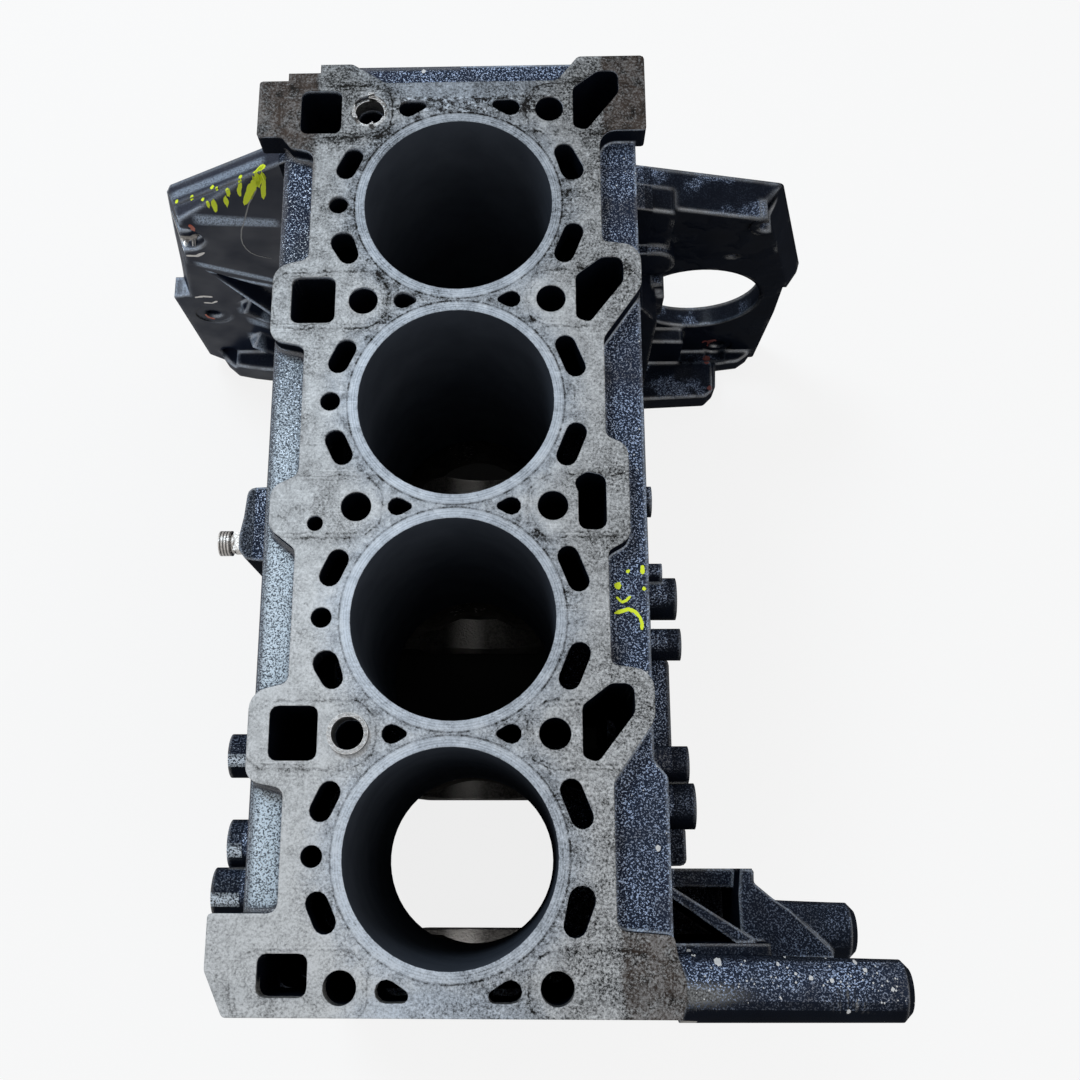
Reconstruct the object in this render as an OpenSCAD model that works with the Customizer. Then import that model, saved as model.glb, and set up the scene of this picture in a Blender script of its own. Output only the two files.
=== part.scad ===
/* [Cylinders] */
// Cylinder bore
bore_d = 88; // [84:0.5:90]
// Distance from one cylinder to the next
bore_pitch = 98.6; // [97:0.2:101]
// Length of the honed cylinder wall below the deck
bore_len = 175; // [165:1:185]
// Height of the deck above the crankshaft axis
deck_h = 260; // [254:1:270]

/* [Deck] */
// Thickness of the machined deck rim that overhangs the side walls
deck_t = 14; // [12:0.5:16]
// Drop from the deck to the cast ledges along both sides
ledge_drop = 10; // [8:0.5:11]
// Drop from the deck to the cast ledge at the rear
rear_ledge_drop = 4; // [3:0.5:7]
// Distance from the last bolt row to the front end of the deck
front_overhang = 12; // [11:0.5:16]
// Distance from the last bolt row to the rear end of the block
rear_overhang = 28; // [26:0.5:34]
// Cylinder head bolt hole
head_bolt_d = 13.4; // [12.4:0.1:14.4]
// Distance of the head bolts from the row of cylinders
head_bolt_x = 43; // [42:0.5:44]
// Depth of the cylinder head bolt holes
head_bolt_depth = 105; // [80:1:120]
// Outside of the sleeves that locate the cylinder head
sleeve_d = 17.3; // [16.4:0.1:18.4]
// Wall of a locating sleeve
sleeve_wall = 1.8; // [1.4:0.1:1.9]
// Depth of a locating sleeve in the deck
sleeve_depth = 9; // [6:0.5:12]
// Height of a locating sleeve above the deck
sleeve_rise = 2.5; // [1:0.5:5]
// Round coolant hole beside each cylinder
coolant_d = 9; // [7:0.5:10]
// Width of the long coolant slots
slot_w = 9.4; // [8:0.2:10]
// Depth of the coolant openings below the deck
coolant_depth = 32; // [20:1:40]
// Length along the block of the square oil drain windows
drain_l = 24; // [20:0.5:26]
// Depth of the drain windows before they turn into the crankcase
drain_depth = 130; // [126:1:145]

/* [Water jacket] */
// Iron between the deck and the water jacket
jacket_roof = 15; // [12:0.5:20]
// Depth of the water jacket's floor below the deck
jacket_depth = 122; // [100:1:124]
// Cylinder wall between a bore and the water
barrel_t = 5.5; // [4:0.5:6]
// Iron between the water and the head bolts, drains and outside
jacket_wall = 4.5; // [4:0.5:5.5]

/* [Block body] */
// Distance of the left side wall from the row of cylinders
wall_left = 85; // [84:0.5:88]
// Distance of the right side wall from the row of cylinders
wall_right = 84.5; // [84:0.5:88]
// Step outwards of the right wall beside the front cylinder
wall_step = 5.5; // [4:0.5:8]
// Depth of the cast panels between the ribs of the side walls
panel_depth = 8; // [4:0.5:10]
// Width of the ribs between the side panels
panel_rib_w = 28; // [20:1:36]

/* [Crankcase] */
// Main bearing housing bore
main_d = 78; // [72:0.5:82]
// Thickness of the main bearing webs and caps
web_t = 20; // [18:0.5:24]
// Room cut into the webs below each cylinder for the connecting rod
rod_relief = 1.5; // [1:0.1:3]
// Distance from the crankshaft axis down to the sump joint face
skirt_drop = 65; // [62:1:75]
// Half the outer width of the crankcase
skirt_half = 103; // [101:1:110]
// Thickness of the crankcase side walls
skirt_t = 11; // [9:0.5:13]
// Width of the sump flange on each side
rail_w = 11; // [10:0.5:16]
// Thickness of the sump flange
rail_t = 13; // [10:0.5:16]
// Height of the sloping shoulders of the crankcase bays
bay_slope = 46; // [40:1:50]
// Inward lean of those shoulders
bay_lean = 20; // [16:1:26]
// Height of the inner webs' feet below the crankshaft axis
web_foot = 22; // [18:1:30]
// Bolt holes of the sump flange
rail_hole_d = 7; // [6:0.2:9]
// Bore for the rear crankshaft seal
seal_d = 104; // [96:1:110]

/* [Main bearing caps] */
// Width of a main bearing cap beyond its bolts, on each side
cap_edge = 11.5; // [9:0.5:14]
// Depth of a main bearing cap below the crankshaft axis
cap_h = 58; // [54:1:61]
// Height of the cap shoulders under the bolt heads
cap_shoulder = 38; // [32:1:42]
// Distance between the two bolts of a cap
cap_bolt_pitch = 107; // [104:1:110]
// Shank of a main bearing cap bolt
cap_bolt_d = 11.8; // [10:0.2:12.4]
// Length of a cap bolt below its head
cap_bolt_len = 100; // [80:1:110]
// Fit of a cap between its two register faces
cap_fit = 0.05; // [0.02:0.01:0.2]

/* [Transmission flange] */
// Thickness of the transmission flange
flange_t = 14; // [12:0.5:16]
// Starter motor bore
starter_d = 82; // [76:1:86]
// Distance of the starter bore from the crankshaft, sideways
starter_x = 143; // [140:1:146]
// Height of the starter bore above the crankshaft
starter_z = 30; // [26:1:34]
// Bolt holes in the flange
flange_hole_d = 10.5; // [9:0.5:12]

/* [Side bosses] */
// Reach of the side bosses beyond the side walls
boss_reach = 22; // [16:1:30]
// Depth of the side bosses below the deck
boss_drop = 60; // [50:1:70]
// Threaded holes in the side bosses
boss_hole_d = 8.5; // [6:0.5:9]

/* [Front bracket] */
// Diameter of the upper bracket tube
tube_d = 26.8; // [25:0.2:30]
// Reach of the upper bracket tube from the row of cylinders
tube_reach = 183; // [170:1:195]
// Diameter of the lower bracket tube
low_tube_d = 25; // [22:0.5:28]
// Reach of the lower bracket tube from the row of cylinders
low_tube_reach = 173.5; // [165:0.5:180]
// Thickness of the bracket's webs
bracket_t = 8; // [6:0.5:12]

/* [Plugs and union] */
// Core plug diameter
plug_d = 36; // [30:1:40]
// Depth of a core plug
plug_h = 9; // [7:0.5:12]
// Sheet thickness of a core plug
plug_t = 2; // [1.5:0.1:2.5]
// Oil gallery plug diameter
gallery_d = 18; // [14:0.5:22]
// Threaded end of the oil union
union_d = 12.2; // [10:0.2:14]

/* [Oil gallery] */
// Main oil gallery along the left wall
gallery_hole_d = 12; // [8:0.5:13]
// Iron round the plugged ends of the oil gallery
gallery_wall = 5; // [4:0.5:8]

/* [Hidden] */
e = 0.5;
press = 0.02;
bolt_flange_d = cap_bolt_d + 7.7;
cap_w = cap_bolt_pitch + 2 * cap_edge;
row = [for (i = [-2:2]) i * bore_pitch];
cyl = [for (i = [0:3]) (row[i] + row[i + 1]) / 2];
front_y = row[0] - front_overhang;
rear_y = row[4] + rear_overhang;
bay_top = deck_h - bore_len;
ledge_z = deck_h - ledge_drop;
wall_out = wall_right + wall_step;
boss_z = deck_h - boss_drop;
left_end = -wall_left - boss_reach;
right_end = wall_right + boss_reach;
bay_in = skirt_half - skirt_t;
bolt_row = [row[0] - 0.8, row[1], row[2], row[3], row[4] + 0.8];
// Each main bearing web and cap runs from web_from to web_from + web_t
web_from = [front_y, row[1] - web_t / 2, row[2] - web_t / 2, row[3] - web_t / 2, -front_y - web_t];
sleeve_front = [-head_bolt_x, bolt_row[1]];
sleeve_rear = [-head_bolt_x, bolt_row[4]];
plug_z = deck_h - 66;
gallery_x = 1 - wall_left;
gallery_z = bay_top + 7;
plug_set = 0.5;
gallery_plug_h = 13;
starter_relief = 2;
tube_y = front_y + tube_d / 2 - 2.5;
tube_z = deck_h - tube_d / 2 - 0.4;
low_tube_y = front_y + 30.5;
low_tube_z = deck_h - 58;
union_y = -0.3;
union_seat = left_end + 3.6;

function unit(v) = v / norm(v);
function sweep_from(a, b) = atan2(a.x * b.y - a.y * b.x, a * b);
function arc_steps(r) = r < 2.5 ? 2 : r < 7 ? 3 : 5;
function corner(a, b, c, r) =
    let (u = unit(a - b), w = unit(c - b), half = acos(u * w) / 2)
    let (o = b + unit(u + w) * r / sin(half), s = b + u * r / tan(half) - o)
    let (turn = sweep_from(s, b + w * r / tan(half) - o), n = arc_steps(r))
    [for (i = [0:n]) let (g = atan2(s.y, s.x) + turn * i / n) o + r * [cos(g), sin(g)]];
function xy(p) = [p.x, p.y];
// Points are [x, y, radius of the rounding at that corner]
function rounded(p) = [
    for (i = [0:len(p) - 1])
        let (k = len(p), b = p[i], a = p[(i + k - 1) % k], c = p[(i + 1) % k])
        each (b.z > 0 ? corner(xy(a), xy(b), xy(c), b.z) : [xy(b)])
];

// A slot or drop shape around two circles
module bead(c1, r1, c2, r2) {
    way = atan2(c2.y - c1.y, c2.x - c1.x);
    lean = acos((r1 - r2) / norm(c2 - c1));
    n = 7;
    polygon(concat(
        [for (i = [0:n]) let (g = way + lean + i * (360 - 2 * lean) / n) c1 + r1 * [cos(g), sin(g)]],
        [for (i = [0:n]) let (g = way - lean + i * 2 * lean / n) c2 + r2 * [cos(g), sin(g)]]
    ));
}

// Extrudes a drawing made in x and z along y
module along_y(y0, y1) {
    translate([0, y1, 0]) rotate([90, 0, 0]) linear_extrude(y1 - y0) children();
}

// Extrudes a drawing made in y and z along x
module along_x(x0, x1) {
    translate([x0, 0, 0]) rotate([90, 0, 90]) linear_extrude(x1 - x0) children();
}

// Extrudes a drawing made in x and y along z
module along_z(z0, z1) {
    translate([0, 0, z0]) linear_extrude(z1 - z0) children();
}

module rod_x(x0, x1, y, z, d) {
    translate([x0, y, z]) rotate([0, 90, 0]) cylinder(d = d, h = x1 - x0, $fn = 48);
}

module rod_y(y0, y1, x, z, d) {
    translate([x, y0, z]) rotate([-90, 0, 0]) cylinder(d = d, h = y1 - y0, $fn = 48);
}

module rod_z(z0, z1, x, y, d) {
    translate([x, y, z0]) cylinder(d = d, h = z1 - z0, $fn = 48);
}

module box_from(a, b) {
    translate(a) cube(b - a);
}

// Corners of the deck lobes that carry the drain windows of one bolt row
function right_lobe(y) = [[66.7, y - 19.4, 7], [84.5, y + 6, 10], [84.5, y + 26.5, 9],
    [66.7, y + 28.8, 3]];
function left_lobe(y) = [[-69.1, y + 21.4, 4], [-85.2, y + 17.5, 9], [-85.2, y - 19, 7],
    [-69.1, y - 22.3, 4]];

module deck_outline() {
    polygon(rounded(concat(
        [[91.4, front_y, 0], [93.4, front_y + 8, 0], [93.2, front_y + 15, 0], [90.6, front_y + 23, 0],
         [89.2, front_y + 31.2, 2], [66.7, front_y + 33, 4]],
        right_lobe(row[1]),
        [[66.5, -20.5, 4], [76.3, -15, 7], [76.3, 27.5, 7], [66.5, 32, 4]],
        right_lobe(row[3]),
        [[66.8, row[4] - 11.3, 8], [89, row[4] - 11.3, 1.5], [89, rear_y + 1.5, 2]],
        [[57, rear_y + 1.5, 3], [47, rear_y - 11.7, 5], [-36, rear_y - 11.7, 5], [-52, rear_y - 0.9, 4]],
        [[-67.5, rear_y - 0.9, 0], [-67.5, rear_y - 5.5, 0], [-83, rear_y - 5.5, 0],
            [-83, rear_y - 9.7, 0]],
        [[-97, rear_y - 9.7, 1.5], [-97, row[4] - 12.3, 1.5], [-85, row[4] - 12.3, 3]],
        [[-80, row[4] - 18.5, 4], [-69.2, row[4] - 20.5, 5]],
        left_lobe(row[3]),
        [[-68.9, 15, 5], [-81, 9, 7], [-81, -9.5, 7], [-68.9, -19, 5]],
        left_lobe(row[1]),
        [[-69.1, front_y + 39.2, 4], [-97.2, front_y + 39.2, 1.5]],
        [[-97.2, front_y + 17.5, 5], [-89, front_y, 2]]
    )));
}

module window(x0, y0, x1, y1, r) {
    polygon(rounded([[x0, y0, r], [x1, y0, r], [x1, y1, r], [x0, y1, r]]));
}

module right_window(y) {
    polygon(rounded([
        [54.3, y - 9.8, 3], [60.5, y - 12, 3], [76.3, y + 8.5, 5], [76.3, y + 20.8, 4],
        [66.5, y + 20.8, 5], [54.3, y + 11.5, 4]
    ]));
}

// Oil drain and breather windows in the deck, seen from above
module drain_windows() {
    window(-76.2, row[1] + 1 - drain_l / 2, -55.9, row[1] - 0.2 + drain_l / 2, 3.5);
    window(-76.2, row[3] + 1 - drain_l / 2, -55.9, row[3] + drain_l / 2, 3.5);
    window(-76.2, row[4] - 11, -56.5, row[4] - 11.5 + drain_l, 3.5);
    window(-76.2, row[0] - 4.6, -56, row[0] + 12, 3.5);
    right_window(row[1] + 0.2);
    right_window(row[3]);
    right_window(row[4] + 0.7);
    polygon(rounded([
        [54, -11, 4], [66.3, -11, 4], [66.3, 13.5, 4], [58, 15.5, 4], [51.5, 11.5, 4], [54, 6.5, 2]
    ]));
}

// Below the windows the drains step sideways past the webs into the bays
module drain_legs() {
    for (x = [-74, 57]) {
        for (y = [row[1], row[3]]) {
            box_from([x, y - 4, bay_top - 1], [x + 15, y + web_t / 2 + 12, deck_h - drain_depth + 1]);
        }
    }
    box_from([-74, row[4] - 30, bay_top - 1], [-59, row[4] + 8, deck_h - drain_depth + 1]);
    box_from([57, row[4] - 30, bay_top - 1], [72, row[4] + 8, deck_h - drain_depth + 1]);
    box_from([-74, row[0], bay_top - 1], [-59, row[0] + 24, deck_h - drain_depth + 1]);
    box_from([55, -8, bay_top - 1], [65, 26, deck_h - drain_depth + 1]);
}

module coolant_openings() {
    r = slot_w / 2;
    // Left slots curve round each cylinder; two of them are wider at the lower end
    for (i = [0:3]) {
        y = cyl[i];
        bead([-49.9, y + 25.5], r, [-53.3, y + 18.2], r);
        if (i == 3 || i == 1) {
            bead([-50.6, y - 26], r, [-53.6, y - 19.6], r + 0.9);
        } else {
            bead([-49.9, y - 25.5], r, [-53.3, y - 18.2], r);
        }
    }
    // Right slots
    for (i = [0:3]) {
        y = cyl[i];
        if (i == 3) {
            bead([49.8, y + 26.5], r, [53.6, y + 17], r + 0.8);
        } else {
            bead([49.3, y + 26.5], r, [53.7, y + 15.5], r);
        }
        if (i == 0) {
            bead([50.2, y - 26.5], r, [53.2, y - 16.5], r + 0.8);
        } else {
            bead([49.3, y - 26.5], r, [53.7, y - 15.5], r);
        }
    }
    // Drops between the cylinders and at both ends
    for (y = [row[1], row[2], row[3]]) {
        for (s = [-1, 1]) {
            bead([s * 25, y], 4.2, [s * 20.3, y], 1.8);
        }
    }
    for (s = [-1, 1]) {
        for (t = [-1, 1]) {
            bead([s * 24.6, t * (row[4] + 2)], 4.5, [s * 18.3, t * (row[4] + 3.8)], 2.6);
        }
    }
}

module body() {
    // Deck rim with its lobes and ears
    along_z(deck_h - deck_t, deck_h) deck_outline();
    // Cylinder housing between the side walls
    along_z(bay_top - 15, ledge_z) polygon(rounded([
        [-wall_left, front_y, 0], [wall_out, front_y, 0], [wall_out, row[1] - 17, 2],
        [wall_right, row[1] - 10, 2], [wall_right, rear_y, 0], [-wall_left, rear_y, 0]
    ]));
    box_from([-60, row[4], ledge_z - e], [60, rear_y, deck_h - rear_ledge_drop]);
    // Crankcase with its flared skirts and the sump flange
    along_y(front_y, rear_y) polygon(rounded([
        [-wall_left, bay_top + 12, 0], [-skirt_half, bay_top - 42, 16], [-skirt_half, -skirt_drop, 0],
        [skirt_half, -skirt_drop, 0], [skirt_half, bay_top - 42, 16], [wall_right, bay_top + 12, 0]
    ]));
    rail = skirt_half + rail_w;
    along_z(-skirt_drop, rail_t - skirt_drop) polygon(rounded([
        [-rail, front_y, 8], [rail, front_y, 8], [rail, rear_y, 0], [-rail, rear_y, 0]
    ]));
}

// Cast panels that leave ribs beside the cylinders and the bays
module panels() {
    half = (bore_pitch - panel_rib_w) / 2;
    z0 = bay_top + 24;
    z1 = ledge_z - 15;
    for (y = cyl) {
        along_x(-wall_left - 1, panel_depth - wall_left) window(y - half, z0, y + half, z1, 9);
    }
    along_x(wall_right - panel_depth, wall_out + 1) window(cyl[3] - half, z0, cyl[3] + half, z1, 9);
    along_x(wall_right - panel_depth, wall_out + 1) window(cyl[2] - half, z0, cyl[2] + half, z1, 9);
    for (y = cyl) {
        for (s = [-1, 1]) {
            along_x(s > 0 ? skirt_half - 4 : -skirt_half - 1, s > 0 ? skirt_half + 1 : 4 - skirt_half) {
                window(y - half, rail_t - skirt_drop + 8, y + half, bay_top - 66, 9);
            }
        }
    }
}

module flange_outline() {
    polygon(rounded([
        [196, -skirt_drop, 2], [197.5, 10, 3], [196.5, 46, 0], [206, 46, 1], [206.5, 52, 2],
        [178, 147, 5], [78, 171.5, 0], [-78, 209, 0], [-172.8, 154, 4], [-177.3, 146, 3],
        [-184, 121, 8], [-186.4, 94.5, 0], [-189.6, 72, 0], [-193.6, 52.4, 2], [-196.4, 42.5, 0],
        [-202, 42.5, 1], [-202, -50, 3], [-190, -skirt_drop, 2]
    ]));
}

// Flange plate with the thicker cast shoulders of both wings
module flange() {
    along_y(rear_y - flange_t, rear_y) flange_outline();
    intersection() {
        along_y(rear_y - 40, rear_y) flange_outline();
        union() {
            along_x(78, 215) polygon(rounded([
                [rear_y - 1, 84, 0], [rear_y - 1, 220, 0], [rear_y - 25, 220, 0],
                [rear_y - 25, 150, 5], [rear_y - flange_t, 84, 0]
            ]));
            hull() {
                along_y(rear_y - 5, rear_y - 1) polygon([[-174, 104], [-174, 153], [-78, 208],
                    [-78, 30]]);
                along_y(rear_y - 25, rear_y - 24) polygon([[-177, 108], [-174, 151], [-78, 155],
                    [-78, 34]]);
            }
        }
    }
    // Feet that carry the flange down to the sump face
    along_z(-skirt_drop, 13 - skirt_drop) polygon(rounded([
        [90, rear_y, 0], [196, rear_y, 0], [195.5, rear_y - 10, 3], [190, rear_y - 18, 3],
        [183, rear_y - 23, 3], [167, rear_y - 25, 3], [90, rear_y - 25, 0]
    ]));
    along_z(-skirt_drop, 18 - skirt_drop) polygon(rounded([
        [90, rear_y - 25, 0], [166, rear_y - 25, 0], [165, rear_y - 45, 5], [158, rear_y - 52, 4],
            [90, rear_y - 55, 0]
    ]));
    along_z(-skirt_drop, 20 - skirt_drop) polygon(rounded([
        [-90, rear_y - 34, 0], [-160, rear_y - 29, 3], [-171, rear_y - 27.5, 3], [-183, rear_y - 25, 3],
        [-191, rear_y - 18, 3], [-197, rear_y - 9, 3], [-197, rear_y, 0], [-90, rear_y, 0]
    ]));
}

// Bolt columns, gussets and ribs in front of the flange
module flange_ribs() {
    y1 = rear_y - flange_t + 1;
    rod_y(rear_y - 25, y1, 168.5, 142, 20);
    // Columns beside the right wall
    along_y(rear_y - 29, y1) polygon(rounded([[80, 100, 0], [114, 100, 3], [114, 165, 3],
        [80, 174, 0]]));
    along_y(rear_y - 35, y1) polygon([[80, 64], [114, 64], [114, 92], [80, 92]]);
    along_y(rear_y - 40, y1) polygon([[80, 61], [115, 61], [115, 86], [80, 86]]);
    rod_y(rear_y - 35, y1, 105, 118, 26);
    box_from([80, rear_y - 35, 105], [105, y1, 131]);
    // Buttresses between the skirt and the flange
    along_y(rear_y - 57, y1) polygon([[80, 118], [100, 104], [110, 86], [110, -skirt_drop],
        [80, -skirt_drop]]);
    along_y(rear_y - 34, y1) polygon([[-80, 150], [-100, 120], [-108, 86], [-108, -skirt_drop],
        [-80, -skirt_drop]]);
    // Shelf beneath the starter bore
    along_y(rear_y - 25, y1) polygon(rounded([[100, -60, 0], [139, -60, 0], [139, -14, 2],
        [100, -12, 0]]));
    // Ribs that fan out across the left wing
    for (g = [[-166, 98, 67, 92], [-156, 36, 50, 30], [-162, -18, 50, 28]]) {
        translate([g[0], y1, g[1]]) rotate([0, g[2], 0]) along_x(0, g[3])
            polygon([[0, -7], [-10, -1.5], [-10, 1.5], [0, 7]]);
    }
}

// The sloping outer faces of both wings
module wing_bevels() {
    translate([206.5, rear_y, 52]) rotate([0, -atan2(28.5, 95), 0]) {
        translate([0, 0, -14]) linear_extrude(140) polygon([[0, 1], [0, 0], [-9.1, -14],
            [-9.1, -70], [50, -70], [50, 1]]);
    }
    translate([-196.4, rear_y, 44]) rotate([0, atan2(19.4, 102), 0]) {
        linear_extrude(130) polygon([[0, 1], [0, 0], [5.7, -14], [10.5, -28], [10.5, -70],
            [-40, -70], [-40, 1]]);
    }
}

module side_bosses() {
    x0 = wall_right - panel_depth - 1;
    rod_x(x0, right_end - 5.2, row[2] - 28.8, boss_z, 20);
    rod_x(x0, right_end - 3.7, row[2] - 50.7, boss_z, 15);
    rod_x(x0, right_end - 2.2, row[1] - 7.9, boss_z, 17);
    rod_x(x0, right_end, row[1] - 26.4, boss_z, 20.5);
    rod_x(x0, right_end - 12, row[2] - 18, boss_z + 8, 9);
    rod_x(x0, right_end - 15.2, row[2] + 19.5, boss_z, 15);
    // Pads below the bosses
    along_z(boss_z - 60, boss_z - 10) polygon(rounded([
        [80, row[1] - 2, 0], [right_end - 8, row[1] - 2, 4], [right_end - 8, row[2] - 56, 4],
            [80, row[2] - 50, 0]
    ]));
    along_z(boss_z - 80, boss_z - 18) polygon(rounded([
        [80, row[1] - 52.5, 0], [right_end - 2, row[1] - 52.5, 3], [right_end - 2, row[1] - 34, 3],
            [80, row[1] - 34, 0]
    ]));
    // Left bosses
    x1 = panel_depth - wall_left + 1;
    rod_x(left_end + 1.6, x1, row[1] - 3.7, boss_z, 20);
    rod_x(left_end + 3.8, x1, row[1] - 43.4, boss_z, 22);
    rod_x(left_end - 2.2, x1, row[1] - 64.3, boss_z, 21.5);
    // Boss and pad of the oil union
    rod_x(union_seat, x1, union_y, boss_z, 17);
    along_z(boss_z - 16, boss_z + 22) polygon(rounded([
        [x1, 22, 0], [-100.2, 21, 4], [-101.5, 7, 3], [-103.2, -2, 2], [-103.2, -9, 3],
        [-99.9, -13.5, 2], [-96.5, -14.2, 2], [x1, -16, 0]
    ]));
}

module boss_holes() {
    for (b = [[row[2] - 28.8, -5.2], [row[2] - 50.7, -3.7], [row[1] - 7.9, -2.2], [row[1] - 26.4, 0]]) {
        rod_x(right_end + b.y - 25, right_end + b.y + 1, b.x, boss_z, boss_hole_d);
    }
    for (b = [[row[1] - 3.7, 1.6], [row[1] - 43.4, 3.8], [row[1] - 64.3, -2.2]]) {
        rod_x(left_end + b.y - 1, left_end + b.y + 25, b.x, boss_z, boss_hole_d);
    }
    rod_x(union_seat - 5, union_seat + 14, union_y, boss_z, 8 + 2 * press);
}

// A slightly tapered tube along x with a chamfered end
module draft_tube(x0, x1, y0, y1, z, d0, d1) {
    h = norm([x1 - x0 - 3, y1 - y0]);
    translate([x0, y0, z]) rotate([0, 90, atan2(y1 - y0, x1 - x0)]) {
        cylinder(d1 = d0, d2 = d1, h = h, $fn = 48);
        translate([0, 0, h - 0.01]) cylinder(d1 = d1, d2 = d1 - 6, h = 3.01, $fn = 48);
    }
}

// Bracket of two tubes and webs at the right front corner
module bracket() {
    y0 = front_y;
    zl = low_tube_z;
    draft_tube(80, tube_reach, tube_y, tube_y - 1, tube_z, tube_d, tube_d - 3);
    draft_tube(123, low_tube_reach, low_tube_y + 1.2, low_tube_y, zl, low_tube_d, low_tube_d - 1);
    // Web over the lower tube
    along_z(zl - 8, zl + low_tube_d / 2 + 2) polygon(rounded([
        [122.6, y0 + 20, 0], [122.2, y0 + 46, 2], [123.4, y0 + 57, 0], [129.2, y0 + 56.4, 1],
        [129, y0 + 51, 2], [136.6, y0 + 44.7, 2], [144, y0 + 39.8, 3], [162, y0 + 22.7, 2],
            [161, y0 + 20, 0]
    ]));
    // Back web, end web, front web and floor that close the pocket
    box_from([80, y0 + 57 - bracket_t, zl - 52], [131.3, y0 + 57, zl - 2]);
    box_from([123.5, y0 + 6, zl - 52], [123.5 + bracket_t, y0 + 57 - bracket_t + e, zl + 6]);
    box_from([80, y0 + 6, zl - 52], [123.5 + bracket_t, y0 + 57, zl - 52 + bracket_t]);
    box_from([80, y0 + 9, zl - 52], [131.5, y0 + 27, zl + 33]);
    // Thin rib across the pocket
    along_z(zl - 48, zl + 28) polygon([[84, y0 + 50.5], [84, y0 + 54.5], [127, y0 + 28],
        [124, y0 + 23]]);
}

module bays() {
    for (i = [0:3]) {
        along_y(web_from[i] + web_t, web_from[i + 1]) polygon(rounded([
            [-bay_in, -skirt_drop - 1, 0], [bay_in, -skirt_drop - 1, 0],
                [bay_in, bay_top - bay_slope, 12],
            [bay_in - bay_lean, bay_top, 12], [bay_lean - bay_in, bay_top, 12],
                [-bay_in, bay_top - bay_slope, 12]
        ]));
    }
    // Room between the skirts under the inner webs
    box_from([-bay_in, web_from[1] - 1, -skirt_drop - 1], [bay_in, web_from[3] + web_t + 1, -web_foot]);
}

// Room for the coolant round the four cylinder walls
module jacket() {
    z0 = deck_h - jacket_depth;
    z1 = deck_h - jacket_roof;
    x1 = wall_right - panel_depth - jacket_wall - 2;
    x2 = x1 - 6;
    y0 = front_y + jacket_wall + 4;
    y1 = row[4] + 6;
    wall = 2 * jacket_wall;
    difference() {
        along_z(z0, z1) polygon(rounded([
            [-x2, y0, 4], [x2, y0, 4], [x2, y0 + 17, 3], [x1, y0 + 23, 3],
            [x1, y1 - 23, 3], [x2, y1 - 17, 3], [x2, y1, 4], [34, y1, 3],
            [30, rear_y - jacket_wall - 4, 4], [-30, rear_y - jacket_wall - 4, 4],
            [-34, y1, 3], [-x2, y1, 4], [-x2, y1 - 17, 3], [-x1, y1 - 23, 3],
            [-x1, y0 + 23, 3], [-x2, y0 + 17, 3]
        ]));
        for (y = cyl) {
            rod_z(z0 - 1, z1 + 1, 0, y, bore_d + 2 * barrel_t);
        }
        for (y = bolt_row) {
            for (s = [-1, 1]) {
                rod_z(z0 - 1, z1 + 1, s * head_bolt_x, y, head_bolt_d + wall);
            }
        }
        rod_z(z0 - 1, z1 + 1, -60.7, -7.5, 7 + wall);
        for (i = [1:3]) {
            box_from([-15, row[i] - 12, z0 - 1], [15, row[i] + 12, z1 + 1]);
        }
        // Iron round the drain windows
        for (g = [[row[0] - 12, row[0] + 12], [row[1] - 11, row[1] + 12], [row[3] - 11, row[3] + 12],
                  [row[4] - 11, row[4] + 20]]) {
            box_from([-x1 - 10, g[0] - jacket_wall, z0 - 1], [jacket_wall - 55.9,
                g[1] + jacket_wall, z1 + 1]);
        }
        for (y = [row[1], row[3], row[4] + 0.5]) {
            along_z(z0 - 1, z1 + 1) polygon([
                [54.3 - jacket_wall, y - 13], [62, y - 12 - jacket_wall], [82, y + 5],
                [82, y + 21 + jacket_wall], [65, y + 21 + jacket_wall], [54.3 - jacket_wall, y + 14]
            ]);
        }
        box_from([51.5 - jacket_wall, -11 - jacket_wall, z0 - 1], [82, 15.5 + jacket_wall, z1 + 1]);
    }
}

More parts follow.
